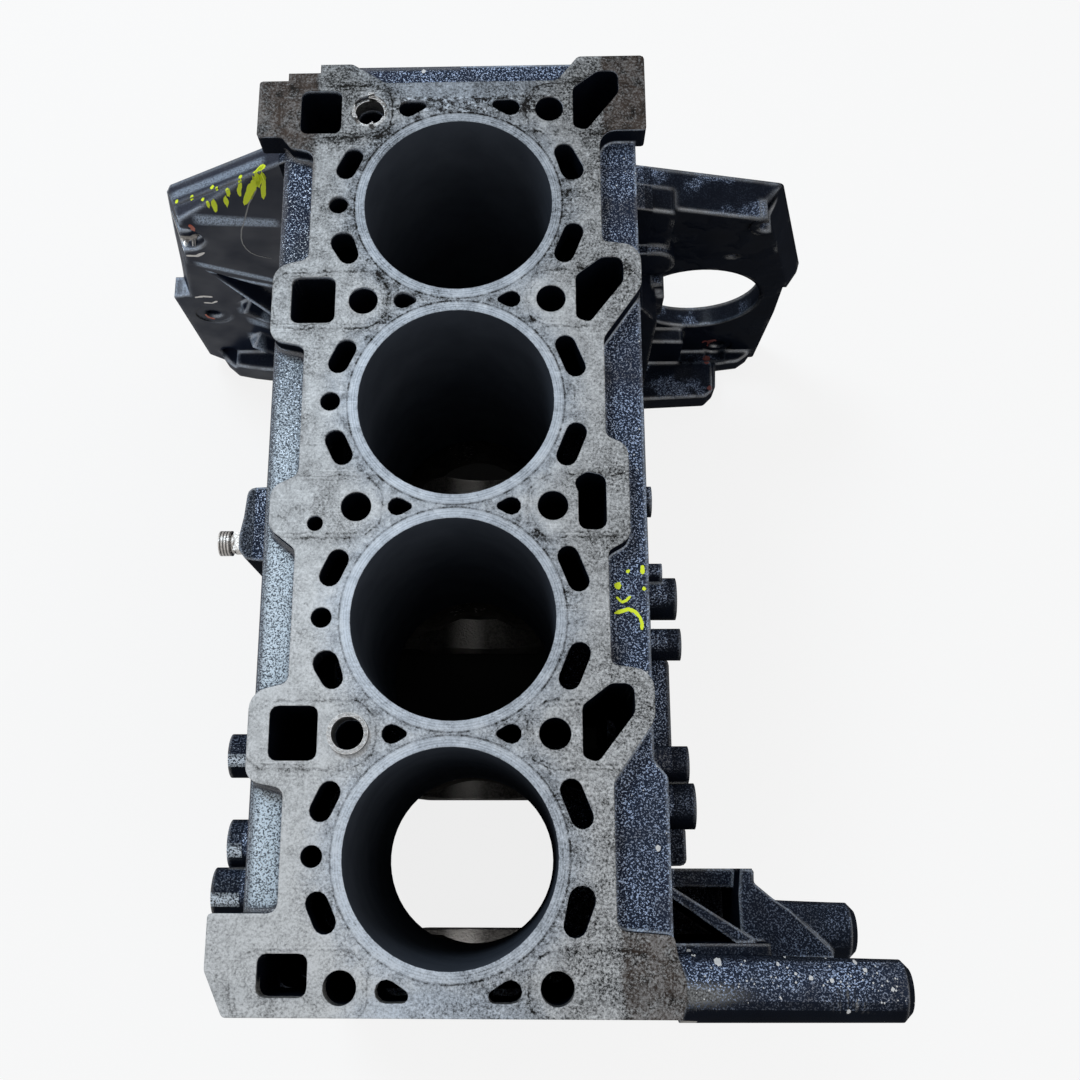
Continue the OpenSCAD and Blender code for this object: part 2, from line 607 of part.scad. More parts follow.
module block_casting() {
    color("dimgray") difference() {
        union() {
            difference() {
                body();
                panels();
            }
            difference() {
                union() {
                    flange();
                    flange_ribs();
                }
                wing_bevels();
            }
            side_bosses();
            bracket();
            rod_y(front_y, rear_y, gallery_x, gallery_z, gallery_d + 2 * gallery_wall);
        }
        // The front face is milled past the root of the upper tube
        box_from([wall_right - 10, front_y - 10, deck_h - tube_d - 5],
            [wall_out + 1.4, front_y, deck_h + 1]);
        bays();
        jacket();
        for (y = cyl) {
            rod_z(bay_top - 1, deck_h + 1, 0, y, bore_d);
            rod_z(-skirt_drop, bay_top, 0, y, bore_d + 2 * rod_relief);
            rod_z(deck_h - coolant_depth, deck_h + 1, -56.3, y, coolant_d);
        }
        rod_y(front_y - 1, rear_y + 1, 0, 0, main_d);
        rod_y(-front_y, rear_y + 1, 0, 0, seal_d);
        for (y = web_from) {
            half = cap_w / 2 + cap_fit;
            box_from([-half, y, -skirt_drop - 1], [half, y + web_t, 0]);
            for (s = [-1, 1]) {
                rod_z(-1, cap_bolt_len - cap_shoulder + 4, s * cap_bolt_pitch / 2, y + web_t / 2,
                    cap_bolt_d + 0.2);
            }
        }
        for (y = bolt_row) {
            for (s = [-1, 1]) {
                rod_z(deck_h - head_bolt_depth, deck_h + 1, s * head_bolt_x, y, head_bolt_d);
            }
        }
        for (c = [sleeve_front, sleeve_rear]) {
            rod_z(deck_h - sleeve_depth, deck_h + 1, c.x, c.y, sleeve_d + 2 * press);
        }
        rod_z(deck_h - 40, deck_h + 1, -60.7, -7.5, 7);
        along_z(deck_h - coolant_depth, deck_h + 1) coolant_openings();
        along_z(deck_h - drain_depth, deck_h + 1) drain_windows();
        drain_legs();
        boss_holes();
        core_seats();
        gallery_seats();
        flange_holes();
        rail_holes();
        rod_x(tube_reach - 45, tube_reach + 1, tube_y - 1, tube_z, 10.2);
        rod_x(low_tube_reach - 40, low_tube_reach + 1, low_tube_y, low_tube_z, 10.2);
    }
}

module flange_holes() {
    y0 = rear_y - 45;
    rod_y(rear_y - flange_t - e, rear_y + 1, starter_x, starter_z, starter_d);
    // Room for the starter motor in front of its bore
    rod_y(y0, rear_y - flange_t, starter_x, starter_z, starter_d + 2 * starter_relief);
    for (p = [[168.5, 142], [-169.8, 137], [-182.8, 14.5], [166.4, -43.8], [-186, -45]]) {
        rod_y(rear_y - 60, rear_y + 1, p.x, p.y, flange_hole_d);
    }
    rod_y(y0, rear_y + 1, 157.5, 89.5, 7);
    // Machined seats for the bolt heads
    rod_y(rear_y - 60, rear_y - 17, -169.8, 137, 27);
    rod_y(rear_y - 22, rear_y - flange_t + 1, -182.8, 14.5, 24);
    rod_y(rear_y - 22, rear_y - flange_t + 1, 166.4, -43.8, 22);
}

module rail_holes() {
    x = skirt_half + rail_w / 2 - 0.5;
    for (s = [-1, 1]) {
        for (i = [-2:2]) {
            rod_z(-skirt_drop - 1, rail_t - skirt_drop + 1, s * x, i * bore_pitch * 0.86 - 14,
                rail_hole_d);
        }
    }
    for (s = [-1, 1]) {
        for (z = [-40, 20, 110, 165, 215]) {
            rod_y(front_y - 1, front_y + 22, s * 74, z, rail_hole_d);
        }
    }
}

// Places and directions of the core plugs: left wall, right wall and rear wall
module on_left(y) {
    translate([panel_depth - wall_left, y, plug_z]) rotate([0, -90, 0]) children();
}

module on_right(y) {
    translate([wall_right - panel_depth, y, plug_z]) rotate([0, 90, 0]) children();
}

module on_rear() {
    translate([0, rear_y, plug_z]) rotate([-90, 0, 0]) children();
}

module core_seat() {
    translate([0, 0, -plug_h - 1.5]) cylinder(d = plug_d + 2 * press, h = plug_h + 3, $fn = 64);
}

module core_seats() {
    on_left(cyl[1]) core_seat();
    on_left(cyl[2] + 6) core_seat();
    on_left(cyl[3]) core_seat();
    on_right(cyl[2]) core_seat();
    on_right(cyl[3]) core_seat();
    on_rear() core_seat();
}

// A pressed sheet cup, open to the outside
module core_plug() {
    color("silver") translate([0, 0, -plug_h - 1.5]) difference() {
        cylinder(d = plug_d, h = plug_h, $fn = 64);
        translate([0, 0, plug_t]) cylinder(d = plug_d - 2 * plug_t, h = plug_h, $fn = 64);
    }
}

module gallery_seats() {
    seat = plug_set + gallery_plug_h;
    rod_y(front_y - 1, front_y + seat + 0.5, gallery_x, gallery_z, gallery_d + 2 * press);
    rod_y(front_y + seat, rear_y - seat, gallery_x, gallery_z, gallery_hole_d);
    rod_y(rear_y - seat - 0.5, rear_y + 1, gallery_x, gallery_z, gallery_d + 2 * press);
}

// A screwed plug with a hexagon socket
module gallery_plug() {
    color("silver") difference() {
        cylinder(d = gallery_d, h = gallery_plug_h, $fn = 48);
        translate([0, 0, gallery_plug_h - 7]) cylinder(d = gallery_d * 0.55, h = 8, $fn = 6);
    }
}

module main_cap(i) {
    half = cap_w / 2;
    foot = cap_bolt_pitch / 2 - 9.5;
    y = web_from[i];
    color("slategray") difference() {
        along_y(y, y + web_t) polygon(rounded([
            [-half, 0, 0], [-half, -cap_shoulder, 5], [-foot, -cap_shoulder, 3], [8 - foot, -cap_h, 5],
            [foot - 8, -cap_h, 5], [foot, -cap_shoulder, 3], [half, -cap_shoulder, 5], [half, 0, 0]
        ]));
        rod_y(y - 1, y + web_t + 1, 0, 0, main_d);
        for (s = [-1, 1]) {
            rod_z(-cap_shoulder - 1, 1, s * cap_bolt_pitch / 2, y + web_t / 2, cap_bolt_d + 1.2);
            rod_z(-cap_h - 1, -cap_shoulder, s * cap_bolt_pitch / 2, y + web_t / 2, bolt_flange_d + 1);
        }
    }
}

module cap_bolt(i, s) {
    color("gray") translate([s * cap_bolt_pitch / 2, web_from[i] + web_t / 2, -cap_shoulder]) {
        cylinder(d = cap_bolt_d, h = cap_bolt_len, $fn = 48);
        translate([0, 0, -2.5]) cylinder(d = bolt_flange_d, h = 2.5, $fn = 48);
        translate([0, 0, -11]) cylinder(d = 18.5, h = 9, $fn = 6);
    }
}

module sleeve() {
    translate([0, 0, deck_h - sleeve_depth]) difference() {
        cylinder(d = sleeve_d, h = sleeve_depth + sleeve_rise, $fn = 64);
        translate([0, 0, -1]) cylinder(d = sleeve_d - 2 * sleeve_wall,
            h = sleeve_depth + sleeve_rise + 2, $fn = 64);
    }
}

module head_sleeve_front() {
    color("silver") translate([sleeve_front.x, sleeve_front.y, 0]) sleeve();
}

// The rear sleeve has a torn upper edge
module head_sleeve_rear() {
    color("silver") translate([sleeve_rear.x, sleeve_rear.y, 0]) difference() {
        sleeve();
        for (t = [[20, 1.2], [95, 2.6], [150, 0.7], [215, 2.1], [285, 1.5], [335, 2.9]]) {
            translate([0, 0, deck_h + sleeve_rise - t[1]]) rotate([0, 12, t[0]]) cube([14, 7, 8]);
        }
    }
}

module oil_union_washer() {
    color("peru") difference() {
        rod_x(union_seat - 1.5, union_seat, union_y, boss_z, 11.5);
        rod_x(union_seat - 3, union_seat + 1, union_y, boss_z, 8.2);
    }
}

// Hollow union with a square neck and a threaded end
module oil_union() {
    x1 = union_seat - 1.5;
    color("lightgray") difference() {
        union() {
            rod_x(x1 - 1, union_seat + 12, union_y, boss_z, 8);
            box_from([x1 - 5.7, union_y - 4.4, boss_z - 4.4], [x1, union_y + 4.4, boss_z + 4.4]);
            rod_x(x1 - 7, x1 - 5.2, union_y, boss_z, union_d - 2.4);
            rod_x(x1 - 12.6, x1 - 6.8, union_y, boss_z, union_d);
        }
        rod_x(x1 - 14, union_seat + 14, union_y, boss_z, 4.5);
    }
}

module main_cap_1() main_cap(0);
module main_cap_2() main_cap(1);
module main_cap_3() main_cap(2);
module main_cap_4() main_cap(3);
module main_cap_5() main_cap(4);
module cap_bolt_1_left() cap_bolt(0, -1);
module cap_bolt_1_right() cap_bolt(0, 1);
module cap_bolt_2_left() cap_bolt(1, -1);
module cap_bolt_2_right() cap_bolt(1, 1);
module cap_bolt_3_left() cap_bolt(2, -1);
module cap_bolt_3_right() cap_bolt(2, 1);
module cap_bolt_4_left() cap_bolt(3, -1);
module cap_bolt_4_right() cap_bolt(3, 1);
module cap_bolt_5_left() cap_bolt(4, -1);
module cap_bolt_5_right() cap_bolt(4, 1);
module core_plug_left_front() on_left(cyl[1]) core_plug();
module core_plug_left_middle() on_left(cyl[2] + 6) core_plug();
module core_plug_left_rear() on_left(cyl[3]) core_plug();
module core_plug_right_middle() on_right(cyl[2]) core_plug();
module core_plug_right_rear() on_right(cyl[3]) core_plug();
module core_plug_end() on_rear() core_plug();
module gallery_plug_front() {
    translate([gallery_x, front_y + plug_set + gallery_plug_h, gallery_z]) rotate([90, 0, 0])
        gallery_plug();
}
module gallery_plug_rear() {
    translate([gallery_x, rear_y - plug_set - gallery_plug_h, gallery_z]) rotate([-90, 0, 0])
        gallery_plug();
}

block_casting();
main_cap_1();
main_cap_2();
main_cap_3();
main_cap_4();
main_cap_5();
cap_bolt_1_left();
cap_bolt_1_right();
cap_bolt_2_left();
cap_bolt_2_right();
cap_bolt_3_left();
cap_bolt_3_right();
cap_bolt_4_left();
cap_bolt_4_right();
cap_bolt_5_left();
cap_bolt_5_right();
head_sleeve_front();
head_sleeve_rear();
core_plug_left_front();
core_plug_left_middle();
core_plug_left_rear();
core_plug_right_middle();
core_plug_right_rear();
core_plug_end();
gallery_plug_front();
gallery_plug_rear();
oil_union();
oil_union_washer();
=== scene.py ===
# %% [markdown]
# An engine block in its finish
# A block of this kind is one grey iron casting. A foundry pours it, a paint shop sprays it
# black, and then mills cut the deck, the ends, the bores and the bearing line through the
# paint. So the object shows two things side by side: rough glossy paint, and bare cut iron.
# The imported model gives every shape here, and this lesson gives the finish. The first cell
# loads that model, and keeps its box so that the last cell can compare.

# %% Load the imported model
import math
import random

import bmesh
import bpy
from mathutils import Matrix, Vector
from mathutils.bvhtree import BVHTree


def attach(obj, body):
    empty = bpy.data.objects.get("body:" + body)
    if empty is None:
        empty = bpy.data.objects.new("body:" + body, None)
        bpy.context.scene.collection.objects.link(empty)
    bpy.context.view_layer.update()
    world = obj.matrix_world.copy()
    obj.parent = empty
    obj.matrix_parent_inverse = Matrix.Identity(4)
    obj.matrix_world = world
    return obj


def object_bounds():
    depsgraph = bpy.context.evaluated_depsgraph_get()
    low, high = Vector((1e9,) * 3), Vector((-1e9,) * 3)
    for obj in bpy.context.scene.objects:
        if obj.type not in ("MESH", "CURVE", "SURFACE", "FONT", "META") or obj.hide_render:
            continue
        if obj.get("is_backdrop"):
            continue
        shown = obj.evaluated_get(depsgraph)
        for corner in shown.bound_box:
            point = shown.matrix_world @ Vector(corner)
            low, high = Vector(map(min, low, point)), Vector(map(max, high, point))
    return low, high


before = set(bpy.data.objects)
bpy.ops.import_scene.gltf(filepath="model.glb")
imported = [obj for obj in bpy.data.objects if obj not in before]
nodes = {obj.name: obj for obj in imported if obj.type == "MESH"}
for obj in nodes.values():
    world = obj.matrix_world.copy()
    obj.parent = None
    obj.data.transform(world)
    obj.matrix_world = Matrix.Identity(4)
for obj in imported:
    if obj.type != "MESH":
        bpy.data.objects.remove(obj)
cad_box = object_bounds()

print("nodes:", len(nodes), "box:", [round(v, 3) for v in cad_box[1] - cad_box[0]])

# %% [markdown]
# Picture settings
# A plain view transform keeps colours as they are written. Nothing else in the picture
# settings is touched, so the exposure and the contrast stay at their defaults.

# %% Choose the plain view transform
scene = bpy.context.scene
scene.view_settings.view_transform = "Standard"
print("view transform:", scene.view_settings.view_transform)

# %% [markdown]
# Small helpers for wiring nodes
# Every finish below is a net of small nodes. Making each node takes three lines in plain
# bpy, so these helpers make a node, feed its inputs and hand back its first output. An
# input may be a number, a colour, or the output of another node.

# %% Wire nodes with short calls
def feed(tree, socket, value):
    if isinstance(value, bpy.types.NodeSocket):
        tree.links.new(value, socket)
    else:
        socket.default_value = value


def add(tree, kind, *values, out=0, **settings):
    node = tree.nodes.new(kind)
    for name, value in settings.items():
        setattr(node, name, value)
    for index, value in enumerate(values):
        if value is not None:
            feed(tree, node.inputs[index], value)
    return node.outputs[out]


def calc(tree, operation, *values, clamp=False):
    return add(tree, "ShaderNodeMath", *values, operation=operation, use_clamp=clamp)


def vec(tree, operation, *values, out=0):
    return add(tree, "ShaderNodeVectorMath", *values, operation=operation, out=out)


def scaled(tree, value, gain, start, clamp=False):
    return calc(tree, "MULTIPLY_ADD", value, gain, start, clamp=clamp)


def rest(tree, mask):
    return calc(tree, "SUBTRACT", 1.0, mask)


def magnitude(tree, value):
    return calc(tree, "ABSOLUTE", value)


def dot(tree, first, second):
    return vec(tree, "DOT_PRODUCT", first, second, out=1)


def split(tree, vector):
    node = tree.nodes.new("ShaderNodeSeparateXYZ")
    tree.links.new(vector, node.inputs[0])
    return node.outputs


def join(tree, x, y, z):
    return add(tree, "ShaderNodeCombineXYZ", x, y, z)


def blend(tree, amount, first, second):
    node = tree.nodes.new("ShaderNodeMix")
    node.data_type = "RGBA"
    for socket, value in ((0, amount), (6, first), (7, second)):
        feed(tree, node.inputs[socket], value)
    return node.outputs[2]


def ramp(tree, value, low, high, start=0.0, end=1.0):
    return add(tree, "ShaderNodeMapRange", value, low, high, start, end,
               interpolation_type="SMOOTHSTEP")


def noise(tree, place, scale, detail=2.0, roughness=0.5):
    return add(tree, "ShaderNodeTexNoise", place, None, scale, detail, roughness)


def turned(tree, place):
    # The turn keeps the noise's own grid away from the flat faces
    mapping = tree.nodes.new("ShaderNodeMapping")
    tree.links.new(place, mapping.inputs[0])
    mapping.inputs["Rotation"].default_value = (0.52, 0.71, 0.33)
    return mapping.outputs[0]


def grey(level, warmth=0.0):
    return (level * (1 + warmth), level, level * (1 - warmth), 1.0)


print("helpers for nodes are ready")

# %% [markdown]
# Groups and materials
# A node group works like a function: it has named inputs and outputs, and every material
# can use it. A material starts as one shader, and all of them are kept by name.

# %% Make groups and materials
def new_group(name, inputs, outputs):
    tree = bpy.data.node_groups.new(name, "ShaderNodeTree")
    for label, kind, default in inputs:
        socket = tree.interface.new_socket(label, in_out="INPUT", socket_type=kind)
        if default is not None:
            socket.default_value = default
    for label, kind in outputs:
        tree.interface.new_socket(label, in_out="OUTPUT", socket_type=kind)
    entry, leave = tree.nodes.new("NodeGroupInput"), tree.nodes.new("NodeGroupOutput")
    print("node group:", name)
    return tree, entry.outputs, leave.inputs


def use_group(tree, group, **values):
    node = tree.nodes.new("ShaderNodeGroup")
    node.node_tree = group
    for label, value in values.items():
        feed(tree, node.inputs[label.replace("_", " ")], value)
    return node.outputs


def new_material(name):
    material = bpy.data.materials.new(name)
    material.use_nodes = True
    tree = material.node_tree
    tree.nodes.clear()
    shader = tree.nodes.new("ShaderNodeBsdfPrincipled")
    output = tree.nodes.new("ShaderNodeOutputMaterial")
    tree.links.new(shader.outputs[0], output.inputs[0])
    materials[name] = material
    return tree, shader.inputs


materials = {}
FLOAT, VECTOR = "NodeSocketFloat", "NodeSocketVector"
print("helpers for groups and materials are ready")

# %% [markdown]
# Where the cutter has been
# The bare faces of the block are flat or round and stand at known places, so their masks
# come from sums on the place of each point and the direction of its face. The sizes are
# the ones of the drawing, in millimetres. A painted copy in an image would need unwrapping
# and would blur at the edges, and a sum stays sharp at any zoom.

# %% Sizes of the machined faces in millimetres
DECK, SUMP, FRONT, REAR = 260.0, -65.0, -209.2, 225.2
PITCH, BORE, RING = 98.6, 44.0, 48.7
BOLT_X, BOLT_ROW = 43.0, 198.0
CRANK, SEAL, BAY, BAY_IN = 39.0, 52.0, 85.0, 92.0
STARTER_X, STARTER_Z, STARTER, STARTER_Y = 143.0, 30.0, 43.0, 190.0
SKIN, NEAR, SEAL_Y, SKIRT_Z, WALL_IN = 0.2, 0.7, 209.2, 60.0, 80.0
TUBE_X, TUBE_Z, FACING, UPRIGHT = 98.0, 150.0, 0.9, 0.5
print("deck at", DECK, "mm, bores", 2 * BORE, "mm across")

# %% [markdown]
# Masks
# A mask is a number from 0 to 1 at every point. Multiplying masks keeps what they share,
# and taking the larger of two keeps either.

# %% Helpers for masks
def both(tree, *masks):
    result = masks[0]
    for mask in masks[1:]:
        result = calc(tree, "MULTIPLY", result, mask)
    return result


def either(tree, *masks):
    result = masks[0]
    for mask in masks[1:]:
        result = calc(tree, "MAXIMUM", result, mask)
    return result


def above(tree, value, limit):
    return calc(tree, "GREATER_THAN", value, limit)


def below(tree, value, limit):
    return calc(tree, "LESS_THAN", value, limit)


def near(tree, value, middle):
    return below(tree, magnitude(tree, calc(tree, "SUBTRACT", value, middle)), NEAR)


def distance(tree, a, b):
    return calc(tree, "SQRT", calc(tree, "ADD", calc(tree, "MULTIPLY", a, a),
                                   calc(tree, "MULTIPLY", b, b)))


def millimetres(tree):
    coords = add(tree, "ShaderNodeTexCoord", out=3)
    larger = tree.nodes.new("ShaderNodeVectorMath")
    larger.operation = "SCALE"
    tree.links.new(coords, larger.inputs[0])
    larger.inputs["Scale"].default_value = 1000.0
    return larger.outputs[0]


print("helpers for masks are ready")

# %% [markdown]
# One group for all the cut faces
# The group takes a point and the direction of its face, and hands out one mask for each
# kind of cut, with the distances from the bores and the bolts that the deck's marks need.

# %% Mask the machined faces
faces, entry, leave = new_group(
    "machined faces",
    [("Place", VECTOR, None), ("Face", VECTOR, None)],
    [("Deck", FLOAT), ("Bores", FLOAT), ("Ends", FLOAT), ("Bearings", FLOAT),
     ("Nose", FLOAT), ("Inside", FLOAT), ("From bore", FLOAT), ("From bolt", FLOAT),
     ("Row", FLOAT)])
x, y, z = split(faces, entry["Place"])
_, ny, nz = split(faces, entry["Face"])
deck = both(faces, above(faces, z, DECK - 0.3), above(faces, nz, FACING))
from_bore = distance(faces, x, calc(faces, "WRAP", calc(faces, "SUBTRACT", y, PITCH / 2),
                                    PITCH / 2, -PITCH / 2))
bores = both(faces, near(faces, from_bore, BORE), above(faces, z, BAY - 0.5),
             below(faces, magnitude(faces, nz), UPRIGHT),
             below(faces, magnitude(faces, y), 2 * PITCH - 4.0))
row = calc(faces, "WRAP", calc(faces, "MULTIPLY", y, 2 * PITCH / BOLT_ROW),
           PITCH / 2, -PITCH / 2)
from_bolt = distance(faces, calc(faces, "SUBTRACT", magnitude(faces, x), BOLT_X), row)
tube = both(faces, above(faces, x, TUBE_X), above(faces, z, TUBE_Z))
front = both(faces, below(faces, y, FRONT + SKIN), below(faces, ny, -FACING),
             rest(faces, tube))
rear = both(faces, above(faces, y, REAR - SKIN), above(faces, ny, FACING))
sump = both(faces, below(faces, z, SUMP + SKIN), below(faces, nz, -FACING))
from_crank = distance(faces, x, z)
flat_walls = below(faces, magnitude(faces, ny), UPRIGHT)
bearing = both(faces, near(faces, from_crank, CRANK), flat_walls)
seal = both(faces, below(faces, from_crank, SEAL + 0.3), above(faces, y, SEAL_Y))
from_starter = distance(faces, calc(faces, "SUBTRACT", x, STARTER_X),
                        calc(faces, "SUBTRACT", z, STARTER_Z))
starter = both(faces, near(faces, from_starter, STARTER), flat_walls,
               above(faces, y, STARTER_Y))
from_middle = magnitude(faces, x)
skirt_bay = both(faces, below(faces, from_middle, BAY_IN + 1.0), below(faces, z, SKIRT_Z))
upper_bay = both(faces, below(faces, from_middle, WALL_IN), below(faces, z, BAY))
inside = both(faces, either(faces, skirt_bay, upper_bay), above(faces, y, FRONT + 3.0),
              below(faces, y, REAR - 3.0))
for label, value in (("Deck", deck), ("Bores", bores),
                     ("Ends", either(faces, front, rear, sump)),
                     ("Bearings", either(faces, bearing, seal)), ("Nose", starter),
                     ("Inside", inside),
                     ("From bore", from_bore), ("From bolt", from_bolt), ("Row", row)):
    feed(faces, leave[label], value)

# %% [markdown]
# The skin of a sand casting
# Molten iron copies the grains of the sand it is poured into, and the paint on top rounds
# them off. Two noises give that: grains a little under a millimetre across, and slow waves
# about two centimetres long. The group hands out a height for a bump, the grains, their
# highest tips, which carry the gloss and the painted highlight specks, and the waves.

# %% Rough cast skin
skin, entry, leave = new_group(
    "cast skin", [("Place", VECTOR, None), ("Grain", FLOAT, 0.8)],
    [("Height", FLOAT), ("Grains", FLOAT), ("Tips", FLOAT), ("Waves", FLOAT)])
place = turned(skin, entry["Place"])
sand = noise(skin, place, entry["Grain"], 2.0, 0.7)
grains = ramp(skin, sand, 0.32, 0.68)
tips = ramp(skin, sand, 0.53, 0.61)
waves = noise(skin, place, 0.045, 3.0, 0.5)
height = scaled(skin, waves, 6.0, grains)
for label, value in (("Height", height), ("Grains", grains), ("Tips", tips), ("Waves", waves)):
    feed(skin, leave[label], value)

# %% [markdown]
# The used deck
# The deck was milled flat, and then a gasket was clamped on it for years. The fire ring
# left fine circles round every bore with a dark line outside them, its beads pressed
# outlines round the bolt holes and the windows beside them, and oil and water left
# blotches. Outside the gasket, at the ears, the iron went brown and rough. Wiping and
# scraping added fine scratches. Each mark is one mask, so each can be tuned on its own.

# %% Places of the gasket's prints
RING_OUT, EAR_X, EAR_Y = 53.0, 68.5, 150.0
BEAD_X, BEAD_HALF_X, BEAD_HALF_Y, BEAD_R = 59.4, 16.0, 2.4, 11.6
FIRE_RING, RING_SMEAR, RUBBED, BRIDGE_X = 46.3, 50.6, 8.4, 30.0
PIT_X, PIT_HALF_X, PIT_Y, PIT_HALF_Y = 5.0, 34.0, 201.0, 3.5
# Turn, reach and level of three sets of scratches
SCRATCHES, SCRATCH_FINE = ((0.35, 0.035, 0.70), (1.25, 0.03, 0.71), (2.3, 0.045, 0.72)), 1.4

marks, entry, leave = new_group(
    "deck marks",
    [("Place", VECTOR, None), ("From bore", FLOAT, 0.0), ("From bolt", FLOAT, 0.0),
     ("Row", FLOAT, 0.0)],
    [("Tone", FLOAT), ("Relief", FLOAT), ("Brown", FLOAT), ("Cool", FLOAT)])
straight = entry["Place"]
place = turned(marks, straight)


def band(tree, value, middle, half, soft):
    away = magnitude(tree, calc(tree, "SUBTRACT", value, middle))
    return ramp(tree, away, half + soft, half)


def outside_of(tree, value, half):
    return calc(tree, "MAXIMUM", calc(tree, "SUBTRACT", value, half), 0.0)


print("sets of scratches:", len(SCRATCHES))

# %% [markdown]
# Stains and rings
# Slow noises give the mottled iron and the patches of oil. They also shift and break the
# rings that the gasket pressed round each bore, so that no ring is perfect.

# %% Slow stains and the rings round the bores
x, y, z = split(marks, straight)
far_x, far_y = magnitude(marks, x), magnitude(marks, y)
mottle = noise(marks, place, 0.16, 6.0, 0.65)
patches = ramp(marks, noise(marks, place, 0.03, 4.0, 0.6), 0.36, 0.66)
wobble = scaled(marks, mottle, 5.0, -2.5)
broken = ramp(marks, noise(marks, place, 0.22, 3.0, 0.6), 0.44, 0.60)
faint = scaled(marks, broken, 0.75, 0.25)
inside = below(marks, far_y, 2 * PITCH)

from_bore = entry["From bore"]
circles = noise(marks, join(marks, calc(marks, "MULTIPLY", from_bore, 1.7), 0.0, 0.0), 1.0, 2.0)
fire_ring = both(marks, band(marks, from_bore, FIRE_RING, 2.0, 0.7), inside)
ring_line = both(marks, band(marks, from_bore, RING, 0.2, 0.5), inside,
                 scaled(marks, broken, 0.4, 0.6))
smear = calc(marks, "ADD", from_bore, wobble)
ring_stain = both(marks, band(marks, smear, RING_SMEAR, 0.6, 2.2), inside, broken)
ring_edge = both(marks, band(marks, from_bore, RING_OUT, 0.1, 0.5), inside, broken)
print("rings are printed")

# %% [markdown]
# Beads round the bolts
# A gasket's bead runs round each bolt hole and the window beside it. It is a long ring:
# the distance from a narrow box, less a radius, is zero on the bead. A noise added to that
# distance makes the print wander, and another one breaks it.

# %% Beads round the bolt holes
off_x = outside_of(marks, magnitude(marks, calc(marks, "SUBTRACT", far_x, BEAD_X)),
                   BEAD_HALF_X)
off_y = outside_of(marks, magnitude(marks, entry["Row"]), BEAD_HALF_Y)
from_bead = calc(marks, "SUBTRACT", distance(marks, off_x, off_y), BEAD_R)
bead_place = scaled(marks, mottle, 5.0, calc(marks, "SUBTRACT", from_bead, 2.5))
past_bridge = above(marks, far_x, BRIDGE_X)
bead = both(marks, band(marks, bead_place, 0.0, 0.15, 0.6), past_bridge, faint)
bead_twin = both(marks, band(marks, bead_place, -1.9, 0.1, 0.5), past_bridge, broken)
bead_stain = both(marks, band(marks, bead_place, 0.6, 0.4, 3.0), past_bridge, patches)
rubbed = band(marks, entry["From bolt"], RUBBED, 1.2, 0.8)
print("beads are printed")

# %% [markdown]
# Grit, scratches and pits
# Fine grit covers the deck. Scratches are a noise stretched very long, turned three ways.
# A strip behind the rear bore is pitted, with bright chips between the pits.

# %% Grit, specks, scratches and pits
grit = noise(marks, place, 0.95, 3.0, 0.8)
specks = ramp(marks, noise(marks, place, 0.45, 5.0, 0.75), 0.57, 0.64)
scratches = None
for turn, reach, level in SCRATCHES:
    mapping = marks.nodes.new("ShaderNodeMapping")
    marks.links.new(straight, mapping.inputs[0])
    mapping.inputs["Rotation"].default_value = (0, 0, turn)
    mapping.inputs["Scale"].default_value = (reach, SCRATCH_FINE, 0.01)
    stroke = ramp(marks, noise(marks, mapping.outputs[0], 1.0, 1.0, 0.4), level, level + 0.05)
    scratches = stroke if scratches is None else either(marks, scratches, stroke)

# Lighter towards the front left: a painted sheen
painted_sheen_front_left = both(marks, ramp(marks, x, 15.0, -35.0), ramp(marks, y, 15.0, -60.0))
front_left = both(marks, below(marks, x, 0.0), below(marks, y, 0.0))
ragged_x = calc(marks, "ADD", far_x, wobble)
ear = both(marks, rest(marks, front_left), ramp(marks, ragged_x, EAR_X - 1.5, EAR_X + 1.5),
           ramp(marks, far_y, EAR_Y, EAR_Y + 20.0))
pitted = both(marks, band(marks, y, PIT_Y, PIT_HALF_Y, 2.0), band(marks, x, PIT_X, PIT_HALF_X, 6.0))
pits = both(marks, pitted, ramp(marks, noise(marks, place, 0.33, 3.0, 0.7), 0.46, 0.56))
chips = both(marks, pitted, ramp(marks, noise(marks, place, 0.41, 3.0, 0.7), 0.56, 0.63))
# Darker towards the rear: painted shade
painted_shade_rear = ramp(marks, y, 40.0, 235.0)
right_side = ramp(marks, x, 40.0, 75.0)
print("grit, scratches and pits are laid")

# %% [markdown]
# Add up the tone of the deck
# Every mask lightens or darkens the deck by its own amount. A painted sheen lightens the
# front left and painted shade darkens the rear. Grit is stronger at the front right, on the
# right side and in the stains, and weaker on the fire ring.

# %% Add up the tone
tone = scaled(marks, mottle, 0.85, 0.21)
for mask, depth in (
        (patches, -0.18), (fire_ring, 0.08), (rubbed, 0.06), (scratches, 0.14),
        (ring_line, -0.40), (ring_stain, -0.22), (ring_edge, -0.18), (bead, -0.34),
        (bead_twin, -0.26), (bead_stain, -0.16), (specks, -0.20), (ear, -0.18),
        (painted_shade_rear, -0.24), (right_side, -0.07), (painted_sheen_front_left, 0.26), (pits, -0.30),
        (chips, 0.45)):
    tone = scaled(marks, mask, depth, tone)
tone = scaled(marks, both(marks, fire_ring, calc(marks, "SUBTRACT", circles, 0.5)), 1.3, tone)
forward_right = scaled(marks, x, 0.7, calc(marks, "MULTIPLY", y, -1.0))
front_right = ramp(marks, forward_right, 40.0, 190.0)
gritty = calc(marks, "ADD", front_right, scaled(marks, right_side, 0.8, patches))
gritty = scaled(marks, gritty, 0.85, 1.2)
grit_share = scaled(marks, fire_ring, -0.7, gritty)
tone = scaled(marks, calc(marks, "SUBTRACT", grit, 0.5), grit_share, tone, clamp=True)
relief = calc(marks, "SUBTRACT", grit, either(marks, bead, ring_line, pits))
brown = both(marks, ear, ramp(marks, mottle, 0.30, 0.60))
cool = ramp(marks, scaled(marks, mottle, 20.0, from_bore), 74.0, 52.0)
